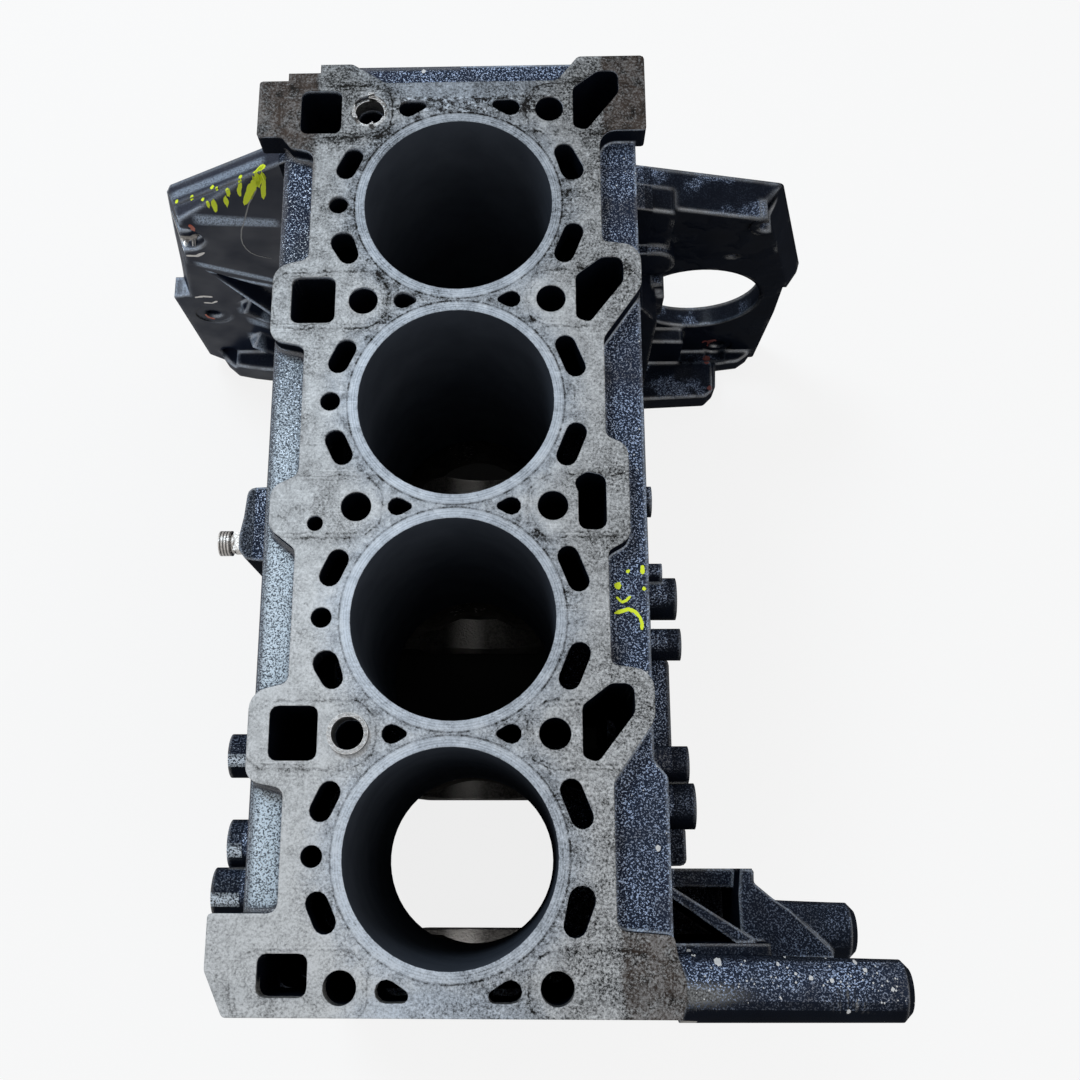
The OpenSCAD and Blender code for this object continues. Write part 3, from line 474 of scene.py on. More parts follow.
for label, value in (("Tone", tone), ("Relief", relief), ("Brown", brown), ("Cool", cool)):
    feed(marks, leave[label], value)
print("deck marks nodes:", len(marks.nodes))

# %% [markdown]
# One finish for the whole casting
# The casting is a single piece of iron, so it has a single material. Under everything is
# black paint, with a clear gloss that is thick on the tips of the grains that look upward.
# Where the masks say that a cutter has been, the material changes to bare iron with the
# deck's marks on it. First come the places, in millimetres on the block, and the colours.

# %% Places and colours of the finish
CUT_EDGE, CAST_EDGE, WING_EDGE, GRAIN_DEPTH = 0.0008, 0.0028, 0.0026, 0.00014
GRAIN, SMEAR = 1.3, (1.1, 0.16, 0.3)
# Directions of the light: faces and edges turned to them get painted highlights and a lighter
# painted tone
LIT_SIDE, LIT_EDGE, GLINT = (-0.22, 0.42, 0.88), (-0.33, -0.12, 0.94), (-0.15, -0.30, 0.94)
WING_X, WING_Y = 101.0, 170.0
TONGUE_X, TONGUE_Y, TONGUE_LONG, TONGUE_WIDE, TONGUE_Z = 90.0, -200.0, 26.0, 5.0, 252.0
STREAK_X, STREAK_Y, STREAK_Z = 92.0, -202.0, 250.0
BOSS_X, TUBE_Y, LEDGE_Z, LEDGE_X = 96.5, -188.0, 246.0, -84.0
BAND_Y, BAND_Z, CREST_Y = 205.0, 150.0, 217.2
# Painted highlights on the ridges of the left wing: x and z of their ends, half width, and how
# bright they are
RIDGE_HIGHLIGHT_LINES = ((-171.0, 155.2, -111.0, 189.5, 2.2, 0.42), (-156.0, 156.0, -110.0, 152.6, 2.6, 0.75),
          (-168.0, 107.0, -126.0, 84.4, 2.0, 0.80), (-165.0, 94.0, -129.0, 77.3, 1.4, 1.00),
          (-160.0, 78.0, -139.0, 33.6, 1.5, 0.90), (-163.0, 21.0, -142.0, 24.7, 3.5, 0.65),
          (-160.0, 5.0, -150.0, -3.0, 3.0, 0.65), (-165.0, -19.5, -156.0, -21.5, 4.0, 0.75))

PAINT_DARK, PAINT_PALE = (0.002, 0.003, 0.006, 1), (0.008, 0.011, 0.019, 1)
# Lighter paint for faces turned to the light and for the left wing: painted light
PAINTED_SIDE_LIGHT, PAINTED_WING_LIGHT = (0.018, 0.025, 0.045, 1), (0.015, 0.021, 0.040, 1)
# Pale colours of painted highlights: specks on the grain tips, the left ledge's field and lit edges
SPECK_HIGHLIGHT, LEDGE_HIGHLIGHT, EDGE_HIGHLIGHT = (0.38, 0.49, 0.72, 1), (0.80, 0.91, 1.0, 1), (0.62, 0.72, 0.88, 1)
# Pale colours of the painted glints on the bosses and the painted highlights on the ridges
GLINT_HIGHLIGHT, RIDGE_HIGHLIGHT = (0.85, 0.92, 1.0, 1), (0.66, 0.78, 0.95, 1)
WARM_IRON, COOL_IRON = (0.57, 0.58, 0.59, 1), (0.54, 0.59, 0.66, 1)
BROWN_STAIN, NOSE_PALE = (0.075, 0.055, 0.045, 1), (0.05, 0.055, 0.062, 1)
# Bore walls, darkened almost to black as painted shade inside the bores
BORE_SHADE_DARK, BORE_SHADE_PALE = (0.034, 0.041, 0.054, 1), (0.075, 0.087, 0.110, 1)
COAT_TINT, COAT_ROUGH, COAT_IOR = (0.90, 0.95, 1.0, 1.0), 0.24, 2.0
IRON_METAL, DECK_RELIEF = 0.30, 0.12
print("ridges on the left wing:", len(RIDGE_HIGHLIGHT_LINES))

# %% [markdown]
# Paint, wings and edges
# The Bevel node rounds the light over the casting's edges, as a real pattern's radii do,
# with a large radius under paint and a small one where the iron is cut. How far the
# rounded direction is from the flat one tells where an edge is, where paint is thin, and
# which edges get a painted highlight.

# %% Masks of the paint and its edges
tree, shader = new_material("painted and machined iron")
place = millimetres(tree)
x, y, z = split(tree, place)
flat = tree.nodes.new("ShaderNodeNewGeometry").outputs["True Normal"]
# Faces turned to the light, where light is painted into the colour
lit_side = ramp(tree, dot(tree, flat, LIT_SIDE), 0.45, 0.95)
where = use_group(tree, faces, Place=place, Face=flat)
cast = use_group(tree, skin, Place=place, Grain=GRAIN)
used = use_group(tree, marks, Place=place, From_bore=where["From bore"],
                 From_bolt=where["From bolt"], Row=where["Row"])
grains, waves = cast["Grains"], cast["Waves"]
ends = either(tree, where["Ends"], where["Bearings"])
bare = either(tree, where["Deck"], where["Bores"], ends, where["Nose"])
painted = rest(tree, bare)
left = below(tree, x, 0.0)
wing = both(tree, above(tree, magnitude(tree, x), WING_X), above(tree, y, WING_Y))
left_wing = both(tree, wing, left)
wing_grains = both(tree, rest(tree, left), ramp(tree, waves, 0.50, 0.60))
sandy_share = scaled(tree, wing, scaled(tree, wing_grains, 0.75, -0.95), 1.0)

by_deck = both(tree, left, above(tree, z, LEDGE_Z), above(tree, x, LEDGE_X))
cast_radius = scaled(tree, either(tree, wing, by_deck), WING_EDGE, CAST_EDGE)
cast_edge = add(tree, "ShaderNodeBevel", cast_radius, samples=8)
cut_edge = add(tree, "ShaderNodeBevel", CUT_EDGE, samples=4)
flatness = dot(tree, cast_edge, flat)
edge = ramp(tree, flatness, 0.99, 0.90)
# Edges turned to the light, which get a painted highlight
lit_edge = both(tree, edge, painted, ramp(tree, dot(tree, cast_edge, LIT_EDGE), 0.20, 0.80))
round_edge = vec(tree, "ADD", vec(tree, "SCALE", cut_edge), vec(tree, "SCALE", cast_edge))
for link, mask in zip(round_edge.node.inputs[:2], (bare, painted)):
    feed(tree, link.links[0].from_node.inputs["Scale"], mask)
print("the edges are rounded")

# %% [markdown]
# Worn paint
# The cutter that faced the deck also ran a short tongue onto the bracket's tube, and
# handling has streaked the tube's top. Where an edge meets a slow wave of the surface, the
# paint is scuffed to grey.

# %% Scuffs, the tongue and the streaks
along = calc(tree, "DIVIDE", outside_of(tree, x, TONGUE_X), TONGUE_LONG)
across = calc(tree, "DIVIDE", calc(tree, "SUBTRACT", y, TONGUE_Y), TONGUE_WIDE)
tongue_line = scaled(tree, grains, 0.7, distance(tree, along, across))
tongue = both(tree, ramp(tree, tongue_line, 1.45, 1.0), above(tree, z, TONGUE_Z))
smeared = noise(tree, vec(tree, "MULTIPLY", place, SMEAR), 1.0, 3.0, 0.6)
from_streaks = magnitude(tree, calc(tree, "SUBTRACT", y, STREAK_Y))
streaks = both(tree, ramp(tree, smeared, 0.53, 0.62), ramp(tree, from_streaks, 5.5, 2.0),
               above(tree, z, STREAK_Z), above(tree, x, STREAK_X),
               ramp(tree, waves, 0.4, 0.55))
tongue = either(tree, tongue, streaks)
scuffed = both(tree, edge, ramp(tree, waves, 0.5, 0.64), ramp(tree, grains, 0.3, 0.7))
worn = either(tree, scuffed, tongue)
print("the paint is worn")

# %% [markdown]
# Painted highlights on the paint
# Pale specks are painted on the tips of the sand grains that face the light, as painted
# highlights, thick on the left ledge and thin on the bosses. On the ledge they stop short of
# its corners, so the ledge has a dark outline, which is painted shade. Edges turned to the
# light get a painted highlight, and the left bosses a painted glint.

# %% Painted highlights: specks, glints and edges
ledge = both(tree, left, above(tree, z, LEDGE_Z), lit_side)
# Away from the ledge's corners; the dark outline left along the corners is painted shade
open_floor = ramp(tree, flatness, 0.985, 0.999)
highlight_cover = scaled(tree, ramp(tree, grains, 0.24, 0.50), 0.88, 0.12)
# The left ledge's pale field is a painted highlight, brighter towards the front
ledge_highlight = both(tree, ledge, open_floor, ramp(tree, y, 150.0, -20.0), highlight_cover)
outer = both(tree, above(tree, magnitude(tree, x), BOSS_X), above(tree, y, TUBE_Y))
boss = both(tree, outer, rest(tree, wing))
# The bosses get fewer painted highlights and less gloss
dull = scaled(tree, boss, -0.72, 1.0)
# Pale spots on the left bosses where they face up and forward: a painted glint
painted_glint = both(tree, boss, left, ramp(tree, dot(tree, flat, GLINT), 0.93, 0.995),
             ramp(tree, grains, 0.20, 0.50))
# Pale specks on the grain tips that face the light: painted highlights
highlight_specks = both(tree, cast["Tips"], lit_side, ramp(tree, waves, 0.25, 0.60), sandy_share, dull,
            either(tree, open_floor, rest(tree, ledge)))

top_band = both(tree, left_wing, above(tree, z, BAND_Z), above(tree, y, BAND_Y))
left_share = scaled(tree, top_band, -0.60, left_wing)
other_share = both(tree, ramp(tree, waves, 0.36, 0.52), dull, rest(tree, ledge),
                   scaled(tree, wing, -0.75, 1.0))
highlight_share = either(tree, left_share, other_share)
# Pale lines on edges turned to the light: painted highlights, strongest on the left wing
edge_highlight = both(tree, lit_edge, scaled(tree, grains, 0.6, 0.3), highlight_share)
print("dust and bright edges are laid")

# %% [markdown]
# Painted highlights on the ridges of the left wing
# Cast ridges and ribs cross the left wing, and a pale band is painted along each as a
# highlight. Each band is a straight line in x and z, so its mask is the distance from that
# line, and it fades at both ends.

# %% Painted highlights along the ridges
ridge_highlights = []
for x1, z1, x2, z2, half, share in RIDGE_HIGHLIGHT_LINES:
    long = math.hypot(x2 - x1, z2 - z1)
    off = scaled(tree, x, (z1 - z2) / long,
                 scaled(tree, z, (x2 - x1) / long, (x1 * z2 - x2 * z1) / long))
    ridge_highlights.append(both(tree, ramp(tree, magnitude(tree, off), half * 1.8, half * 0.5),
                       ramp(tree, x, x1 - 3.0, x1 + 3.0), ramp(tree, x, x2 + 3.0, x2 - 3.0),
                       share))
ridge_highlights[0] = both(tree, ridge_highlights[0], band(tree, y, CREST_Y, 1.0, 2.5))
# Pale bands along the ridges: painted highlights
ridge_highlight = both(tree, either(tree, *ridge_highlights), left_wing,
             scaled(tree, ramp(tree, grains, 0.25, 0.6), 0.7, 0.3))
print("ridges that shine:", len(ridge_highlights))

# %% [markdown]
# Colours of paint and iron
# The paint is laid in layers, from its dark ground to painted light: a lighter tone on faces
# turned to the light and on the left wing, and painted highlights as specks, on edges, in
# glints and along ridges. The scuffs and the tongue are wear. The crankcase inside is raw
# oily iron. The cut iron is stained, the bores are finished by honing and darkened as
# painted shade, and the deck carries its own marks.

# %% Lay the colours over each other
paint = blend(tree, waves, PAINT_DARK, PAINT_PALE)
# Every layer here is painted light, except the scuffs and the tongue, which are wear
for mask, colour in ((both(tree, lit_side, sandy_share, dull), PAINTED_SIDE_LIGHT),
                     # The left wing is painted lighter, as the side turned to the light
                     (both(tree, left_wing, 0.8), PAINTED_WING_LIGHT), (highlight_specks, SPECK_HIGHLIGHT),
                     (ledge_highlight, LEDGE_HIGHLIGHT), (edge_highlight, EDGE_HIGHLIGHT), (painted_glint, GLINT_HIGHLIGHT),
                     (ridge_highlight, RIDGE_HIGHLIGHT), (scuffed, grey(0.17)),
                     (tongue, blend(tree, grains, grey(0.05), grey(0.27)))):
    paint = blend(tree, mask, paint, colour)

iron = blend(tree, used["Cool"], WARM_IRON, COOL_IRON)
iron = blend(tree, used["Tone"], grey(0.012, 0.05), iron)
iron = blend(tree, both(tree, used["Brown"], 0.55), iron, BROWN_STAIN)
stained = noise(tree, turned(tree, place), 0.11, 6.0, 0.7)
cut_tone = scaled(tree, ramp(tree, stained, 0.32, 0.68), 0.45,
                  scaled(tree, waves, 0.25, both(tree, grains, 0.25)))
cut = blend(tree, cut_tone, grey(0.09, 0.06), grey(0.42, 0.04))
raw = blend(tree, cut_tone, grey(0.030, 0.10), grey(0.11, 0.08))
# The iron of the bores is darkened as painted shade
honed_and_shaded = blend(tree, waves, BORE_SHADE_DARK, BORE_SHADE_PALE)
nose = blend(tree, grains, grey(0.015), NOSE_PALE)
surface = paint
for mask, colour in ((where["Inside"], raw), (ends, cut), (where["Deck"], iron),
                     (where["Nose"], nose), (where["Bores"], honed_and_shaded)):
    surface = blend(tree, mask, surface, colour)
feed(tree, shader["Base Color"], surface)
print("the colours are laid")

# %% [markdown]
# Gloss and grain
# Paint is a clear coat over a matt ground, thick on lit tips and edges and gone where it
# is worn. Cut iron is partly metallic. One bump carries the sand grains under the paint
# and the fine relief of the deck.

# %% Roughness, gloss and bump
rough = scaled(tree, waves, 0.25, 0.25)
rough = scaled(tree, bare, calc(tree, "SUBTRACT", 0.5, rough), rough)
rough = scaled(tree, either(tree, worn, where["Bores"]), 0.3, rough)
feed(tree, shader["Roughness"], rough)
milled = either(tree, where["Deck"], ends, where["Nose"])
feed(tree, shader["Metallic"], both(tree, milled, IRON_METAL))
bright_tips = both(tree, cast["Tips"], lit_side, sandy_share, dull)
bright_edge = both(tree, lit_edge, scaled(tree, top_band, -0.6, 1.0))
coat = scaled(tree, either(tree, bright_tips, bright_edge), 0.90,
              scaled(tree, left_wing, both(tree, waves, 0.34), 0.02))
feed(tree, shader["Coat Weight"],
     both(tree, painted, rest(tree, worn), rest(tree, where["Inside"]), coat))
shader["Coat Roughness"].default_value = COAT_ROUGH
shader["Coat IOR"].default_value = COAT_IOR
shader["Coat Tint"].default_value = COAT_TINT
shader["Specular IOR Level"].default_value = 0.0
sandy = both(tree, cast["Height"], painted, sandy_share)
fine = both(tree, used["Relief"], both(tree, bare, DECK_RELIEF))
bump = tree.nodes.new("ShaderNodeBump")
feed(tree, bump.inputs["Height"], calc(tree, "ADD", sandy, fine))
feed(tree, bump.inputs["Distance"], GRAIN_DEPTH)
feed(tree, bump.inputs["Strength"], 1.0)
feed(tree, bump.inputs["Normal"], round_edge)
feed(tree, shader["Normal"], bump.outputs[0])
feed(tree, shader["Coat Normal"], bump.outputs[0])
print("block material nodes:", len(tree.nodes))

# %% [markdown]
# Small parts
# The bearing caps are the same iron, sawn and milled and oily. The bolts are heat treated
# steel with a black oxide, the dowel sleeves are bright steel, the core plugs are pressed
# sheet that was painted with the block, and the oil union is plated. They share one net,
# because only their colours, roughness and grain differ. Some carry painted light: a
# highlight band on the caps' journal, highlights on the rims of the sleeves and the union,
# and shade in the grooves of the union's thread.

# %% Finishes of the small parts
# Turn and start of the thread's painted shade, and the middle of the caps' painted highlight
THREAD_TURN, THREAD_FROM, JOURNAL_HIGHLIGHT_X = math.tau / 1.5, -111.2, -11.5


def small_finish(name, dark, light, metallic, rough, grain, depth, rim=0.0, highlight_x=None,
                 thread_x=None, tint=(1, 1, 1)):
    tree, shader = new_material(name)
    place = millimetres(tree)
    cast = use_group(tree, skin, Place=place, Grain=grain)
    mixed = scaled(tree, cast["Grains"], 0.45, both(tree, cast["Waves"], 0.6), clamp=True)
    surface = blend(tree, mixed, dark, light)
    flat = tree.nodes.new("ShaderNodeNewGeometry").outputs["True Normal"]
    soft = add(tree, "ShaderNodeBevel", 0.0006, samples=4)
    if rim:
        # Pale rims on the sleeves and the union: a painted highlight
        edge = ramp(tree, dot(tree, soft, flat), 0.99, 0.92)
        surface = blend(tree, calc(tree, "MULTIPLY", edge, rim), surface, grey(0.85))
    x = split(tree, place)[0]
    if highlight_x is not None:
        # A pale band along the caps' journal: a painted highlight
        journal_highlight = band(tree, x, highlight_x, 3.0, 12.0)
        surface = blend(tree, calc(tree, "MULTIPLY", journal_highlight, 0.7), surface, grey(0.6, 0.04))
    if thread_x is not None:
        # Dark lines along the thread's turns: painted shade in its grooves
        turns = ramp(tree, calc(tree, "SINE", calc(tree, "MULTIPLY", x, THREAD_TURN)), -0.2, 0.5)
        thread_groove_shade = both(tree, ramp(tree, x, thread_x, thread_x - 0.5), turns)
        surface = blend(tree, calc(tree, "MULTIPLY", thread_groove_shade, 0.9), surface, grey(0.03))
    feed(tree, shader["Base Color"], surface)
    feed(tree, shader["Roughness"], scaled(tree, cast["Waves"], 0.2, rough))
    feed(tree, shader["Metallic"], metallic)
    bump = tree.nodes.new("ShaderNodeBump")
    feed(tree, bump.inputs["Height"], cast["Grains"])
    feed(tree, bump.inputs["Distance"], depth)
    feed(tree, bump.inputs["Normal"], soft)
    feed(tree, shader["Normal"], bump.outputs[0])
    shader["Specular Tint"].default_value = (*tint, 1.0)


small_finish("machined cap iron", grey(0.02, 0.1), grey(0.20, 0.05), 0.6, 0.34, 0.7, 0.0002,
             highlight_x=JOURNAL_HIGHLIGHT_X)
small_finish("black bolt steel", grey(0.012), grey(0.06), 0.6, 0.28, 1.5, 0.00005)
small_finish("bright sleeve steel", grey(0.06), grey(0.50), 1.0, 0.30, 0.9, 0.0002, rim=0.8)
small_finish("painted plug steel", (0.008, 0.010, 0.013, 1), grey(0.03), 0.0, 0.30, 0.9, 0.0002,
             tint=(0.8, 0.9, 1.0))
small_finish("plated union steel", grey(0.22, 0.08), grey(0.60, 0.05), 0.9, 0.28, 0.8, 0.0001,
             rim=0.5, thread_x=THREAD_FROM)
small_finish("copper", (0.30, 0.13, 0.07, 1), (0.62, 0.30, 0.18, 1), 1.0, 0.30, 1.2, 0.0001)
print("materials:", len(materials))

# %% [markdown]
# Which node gets which finish
# The start of a node's name says what it is. The washer stands before the union in the
# list, because the first match counts.

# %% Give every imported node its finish
FINISH = (
    ("block_casting", "painted and machined iron"), ("main_cap", "machined cap iron"),
    ("cap_bolt", "black bolt steel"), ("head_sleeve", "bright sleeve steel"),
    ("core_plug", "painted plug steel"), ("gallery_plug", "painted plug steel"),
    ("oil_union_washer", "copper"), ("oil_union", "plated union steel"),
)
for name, piece in nodes.items():
    finish = next(f for start, f in FINISH if name.startswith(start))
    for slot in piece.material_slots:
        slot.material = materials[finish]
    if not piece.material_slots:
        piece.data.materials.append(materials[finish])
print("finished nodes:", len(nodes))

# %% [markdown]
# Marks left by people
# Someone dabbed paint on the block, dropped specks on it and scraped a wing. Each mark is
# a thin film draped on the casting: a small grid of points is dropped down, or thrown to
# the rear, every ray stops on the iron, and the film lies a tenth of a millimetre above
# it. So a mark follows every slope it crosses, and a square that would bridge a step is
# left out. The outlines of wet paint wander a little, and a fixed seed repeats them.

# %% Drape a film on the casting
LIFT, STEP_LIMIT, BLUNT, TAPER = 0.00012, 0.012, 0.45, 6
AIMS = {"down": (lambda a, b: (a, b, 300.0), (0, 0, -1)),
        "back": (lambda a, b: (a, 150.0, b), (0, 1, 0)),
        "low": (lambda a, b: (a, b, -30.0), (0, 0, -1)),
        "bay 1": (lambda a, b: (a, -150.0, b), (0, 1, 0)),
        "bay 2": (lambda a, b: (a, -55.0, b), (0, 1, 0)),
        "bay 3": (lambda a, b: (a, 45.0, b), (0, 1, 0))}
block = nodes["block_casting"]
bpy.context.view_layer.update()
target = BVHTree.FromObject(block, bpy.context.evaluated_depsgraph_get())
to_local = block.matrix_world.inverted()
dice = random.Random(11)


def drop(aim, a, b):
    begin, heading = AIMS[aim]
    start = to_local @ (Vector(begin(a, b)) / 1000)
    spot, normal = target.ray_cast(start, to_local.to_3x3() @ Vector(heading))[:2]
    if spot is None:
        return None
    return block.matrix_world @ (spot + normal.normalized() * LIFT)


def drape(film, rows, aim):
    grid = [[drop(aim, a, b) for a, b in row] for row in rows]
    placed = {}
    for upper, lower in zip(grid, grid[1:]):
        for corner in range(len(upper) - 1):
            quad = (upper[corner], upper[corner + 1], lower[corner + 1], lower[corner])
            if any(spot is None for spot in quad):
                continue
            if max((a - b).length for a in quad for b in quad) > STEP_LIMIT:
                continue
            for spot in quad:
                if id(spot) not in placed:
                    placed[id(spot)] = film.verts.new(spot)
            try:
                film.faces.new([placed[id(spot)] for spot in quad])
            except ValueError:
                pass


print("directions of throw:", ", ".join(AIMS))

# %% [markdown]
# Strokes and dabs
# A stroke is a ribbon, five points wide, that follows a line and narrows at both ends. A
# dab is three rings with an uneven rim, and the first ring is almost a point.

# %% Draw strokes and dabs
def stroke(film, points, wide, aim, step=0.7):
    path = [Vector(point) for point in points]
    rows, wander = [], 0.0
    total = sum((b - a).length for a, b in zip(path, path[1:]))
    done = 0.0
    for a, b in zip(path, path[1:]):
        length = (b - a).length
        side = Vector((a.y - b.y, b.x - a.x)) / max(length, 1e-6)
        count = max(1, round(length / step))
        for k in range(count + (b is path[-1])):
            share = k / count
            at = (done + share * length) / total
            wander = 0.7 * wander + 0.3 * dice.uniform(-1, 1)
            narrow = min(1.0, BLUNT + TAPER * at, BLUNT + TAPER * (1 - at))
            half = wide / 2 * (0.9 + 0.5 * wander) * narrow
            middle = a.lerp(b, share)
            rows.append([tuple(middle + side * half * q) for q in (-1, -0.5, 0, 0.5, 1)])
        done += length
    drape(film, rows, aim)


def dab(film, x, y, radius, aim, corners=14):
    reach = [radius * dice.uniform(0.75, 1.2) for _ in range(corners)]
    rows = []
    for ring in (0.02, 0.5, 1.0):
        rows.append([(x + ring * reach[k % corners] * math.cos(math.tau * k / corners),
                      y + ring * reach[k % corners] * math.sin(math.tau * k / corners))
                     for k in range(corners + 1)])
    drape(film, rows, aim)


def marks_piece(name, finish, strokes=(), dabs=()):
    film = bmesh.new()
    for points, wide, *aim in strokes:
        stroke(film, points, wide, *(aim or ["down"]))
    for x, y, radius, *aim in dabs:
        dab(film, x, y, radius, *(aim or ["down"]))
    mesh = bpy.data.meshes.new(name)
    film.to_mesh(mesh)
    film.free()
    piece = bpy.data.objects.new(name, mesh)
    scene.collection.objects.link(piece)
    mesh.materials.append(materials[finish])
    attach(piece, "root")
    print(name, len(mesh.polygons), "faces")


print("strokes and dabs are ready")

# %% [markdown]
# Paints
# Each paint is two colours, mixed by a noise, so that no stroke is one flat colour.

# %% Finishes of the marks
def plain_finish(name, dark, light, rough, metallic=0.0):
    tree, shader = new_material(name)
    place = millimetres(tree)
    feed(tree, shader["Base Color"], blend(tree, noise(tree, place, 0.9, 3.0, 0.6), dark, light))
    shader["Roughness"].default_value = rough
    shader["Metallic"].default_value = metallic


plain_finish("yellow green paint", (0.72, 0.90, 0.01, 1), (0.92, 1.0, 0.02, 1), 0.5)
plain_finish("orange paint", (0.30, 0.04, 0.02, 1), (0.65, 0.13, 0.05, 1), 0.5)
plain_finish("dull red paint", (0.07, 0.012, 0.010, 1), (0.17, 0.035, 0.03, 1), 0.6)
plain_finish("white paint", grey(0.45), grey(0.80), 0.5)
plain_finish("scraped metal", grey(0.10, 0.05), grey(0.75, 0.03), 0.35, 0.8)
# Pale grey dabs that stand for light caught in the bays: painted glints
plain_finish("painted glints", grey(0.10), grey(0.42, 0.04), 0.4, 0.3)
plain_finish("scratch", grey(0.16), grey(0.34), 0.5)
print("materials:", len(materials))

# %% [markdown]
# Where the marks are
# Strokes are lines of points with a width, and dabs are a point with a radius, all in
# millimetres. Marks seen from above are dropped down, and marks on the faces of the wings
# are thrown to the rear.

# %% Paint strokes, dabs and scrapes
yellow_strokes = (
    ([(-110.3, 214.5), (-115.2, 211.2), (-119.2, 209.0), (-126.3, 205.2)], 3.0),
    ([(-111.3, 213.0), (-114.3, 211.2), (-116.4, 209.5)], 2.6),
    ([(-109.5, 213.9), (-111.7, 211.2), (-113.0, 208.9), (-115.0, 206.4)], 2.4),
    ([(-124.4, 213.4), (-125.8, 209.7), (-127.9, 207.3)], 2.2),
    ([(70.2, -38.7), (72.5, -41.0), (74.3, -40.4), (76.4, -38.3)], 1.5),
    ([(69.2, -45.9), (73.1, -44.8), (75.3, -44.1), (78.1, -45.2), (80.2, -47.8), (81.0, -50.4),
      (80.8, -53.2)], 1.8),
    ([(81.9, -24.6), (81.8, -28.6)], 2.0),
)
yellow_dabs = ((-133.6, 208.3, 1.3), (-135.7, 206.0, 1.4), (-143.0, 212.9, 1.3),
               (-140.2, 211.2, 0.8), (-143.0, 205.0, 1.5), (-146.4, 205.5, 1.0),
               (-149.5, 208.4, 1.1), (-156.7, 211.6, 1.2), (-167.0, 212.3, 1.2),
               (75.5, -27.3, 0.9), (71.0, -33.5, 1.6), (82.3, -35.0, 0.9))
marks_piece("yellow_green_marks", "yellow green paint", yellow_strokes, yellow_dabs)
marks_piece("orange_marks", "orange paint",
            [([(-160.5, 152.5), (-159.0, 149.5), (-160.5, 145.5)], 2.6, "back"),
             ([(-188.5, 14.0), (-187.6, 9.0), (-184.0, 6.5)], 1.8, "back")])
marks_piece("dull_red_marks", "dull red paint",
            [([(155.5, -36.5), (160.5, -38.0), (165.5, -37.0)], 4.5, "back"),
             ([(160.5, -39.0), (162.0, -44.0), (160.5, -48.0)], 3.4, "back")],
            [(160.8, 179.8, 1.8, "low"), (164.5, -41.0, 2.2, "back"), (160.5, 205.0, 2.6, "low"),
             (159.5, 200.0, 2.0, "low")])
marks_piece("bare_rims", "scraped metal",
            [([(-178.8, 130.0), (-175.0, 125.5), (-168.0, 124.5), (-161.5, 128.5)], 3.2, "back"),
             ([(-172.0, 117.5), (-165.5, 117.0), (-160.0, 121.0)], 2.6, "back"),
             ([(-188.3, 41.0), (-182.5, 42.5), (-176.5, 41.5)], 2.4, "back"),
             ([(-184.5, 33.5), (-179.0, 32.5), (-175.0, 35.5)], 1.8, "back")])

# %% [markdown]
# Specks and a scratch
# White specks lie on the bracket's tube and the right ledge, some placed and most
# scattered by the dice. A thin scratch runs over the left wing and down its face.

# %% White specks and the scratch
specks = [(97.6, -185.4, 1.0), (106.9, -188.1, 1.5), (134.2, -186.4, 0.5), (130.4, -188.9, 0.7),
          (136.6, -192.2, 0.6), (142.3, -193.7, 0.9), (150.5, -194.5, 0.9), (161.4, -188.3, 0.8),
          (164.3, -190.9, 0.8), (173.7, -197.7, 0.8), (156.5, -206.0, 0.8), (84.8, -144.2, 1.2),
          (-18.0, 222.6, 1.1)]
for _ in range(70):
    specks.append((dice.uniform(92, 195), dice.triangular(-206, -186, -194),
                   dice.uniform(0.2, 0.4)))
for _ in range(40):
    specks.append((dice.uniform(74, 92), dice.uniform(-160, 180), dice.uniform(0.2, 0.35)))
marks_piece("white_specks", "white paint", dabs=specks)
marks_piece("wing_scratch", "scratch",
            [([(-116.9, 208.7), (-123.4, 205.2), (-128.1, 201.2)], 0.55),
             ([(-128.1, 155.6), (-131.8, 147.0), (-134.1, 137.9), (-134.9, 131.0), (-134.2, 124.7),
               (-132.6, 120.0), (-129.4, 116.4), (-121.7, 112.3)], 0.7, "back")])

# %% [markdown]
# Painted glints in the bays
# The rough walls between the crankcase's bays catch the light in small spots, which the
# photograph shows through the bores. They are scattered on the three walls in sight.

# %% Painted glints on the walls of the bays
# Pale dabs for the spots of light on the rough walls: painted glints
bay_glints = []
for aim, low_x, high_x, low_z, high_z, count in (("bay 2", -15, 6, 52, 86, 34),
                                                  ("bay 3", -16, 0, 44, 84, 30),
                                                  ("bay 1", -12, 2, 62, 84, 16)):
    for _ in range(count):
        bay_glints.append((dice.uniform(low_x, high_x), dice.uniform(low_z, high_z),
                      dice.uniform(0.3, 0.9), aim))
marks_piece("painted_bay_glints", "painted glints", dabs=bay_glints)
print("marks are on the block")

# %% [markdown]
# A pale floor and an even studio
# The block stands on its sump face on a white table. For rays that come from the camera,
# from a gloss or through glass, the table and the sky show plain white. For the light that
# falls on the block they are weaker, so that a colour renders about as it is written. The
# table keeps a share of ordinary diffuse paint, and so it keeps the block's shadow. Under
# the three rear bays it is dark, because the photograph shows only darkness through their
# bores, and white through the front bore alone.

# %% The floor
FLOOR_SIZE, FLOOR_GAP = 4.0, 0.0004
UNDER_X, UNDER_Y, SHOWN_SHARE = 112.0, -106.0, 0.84
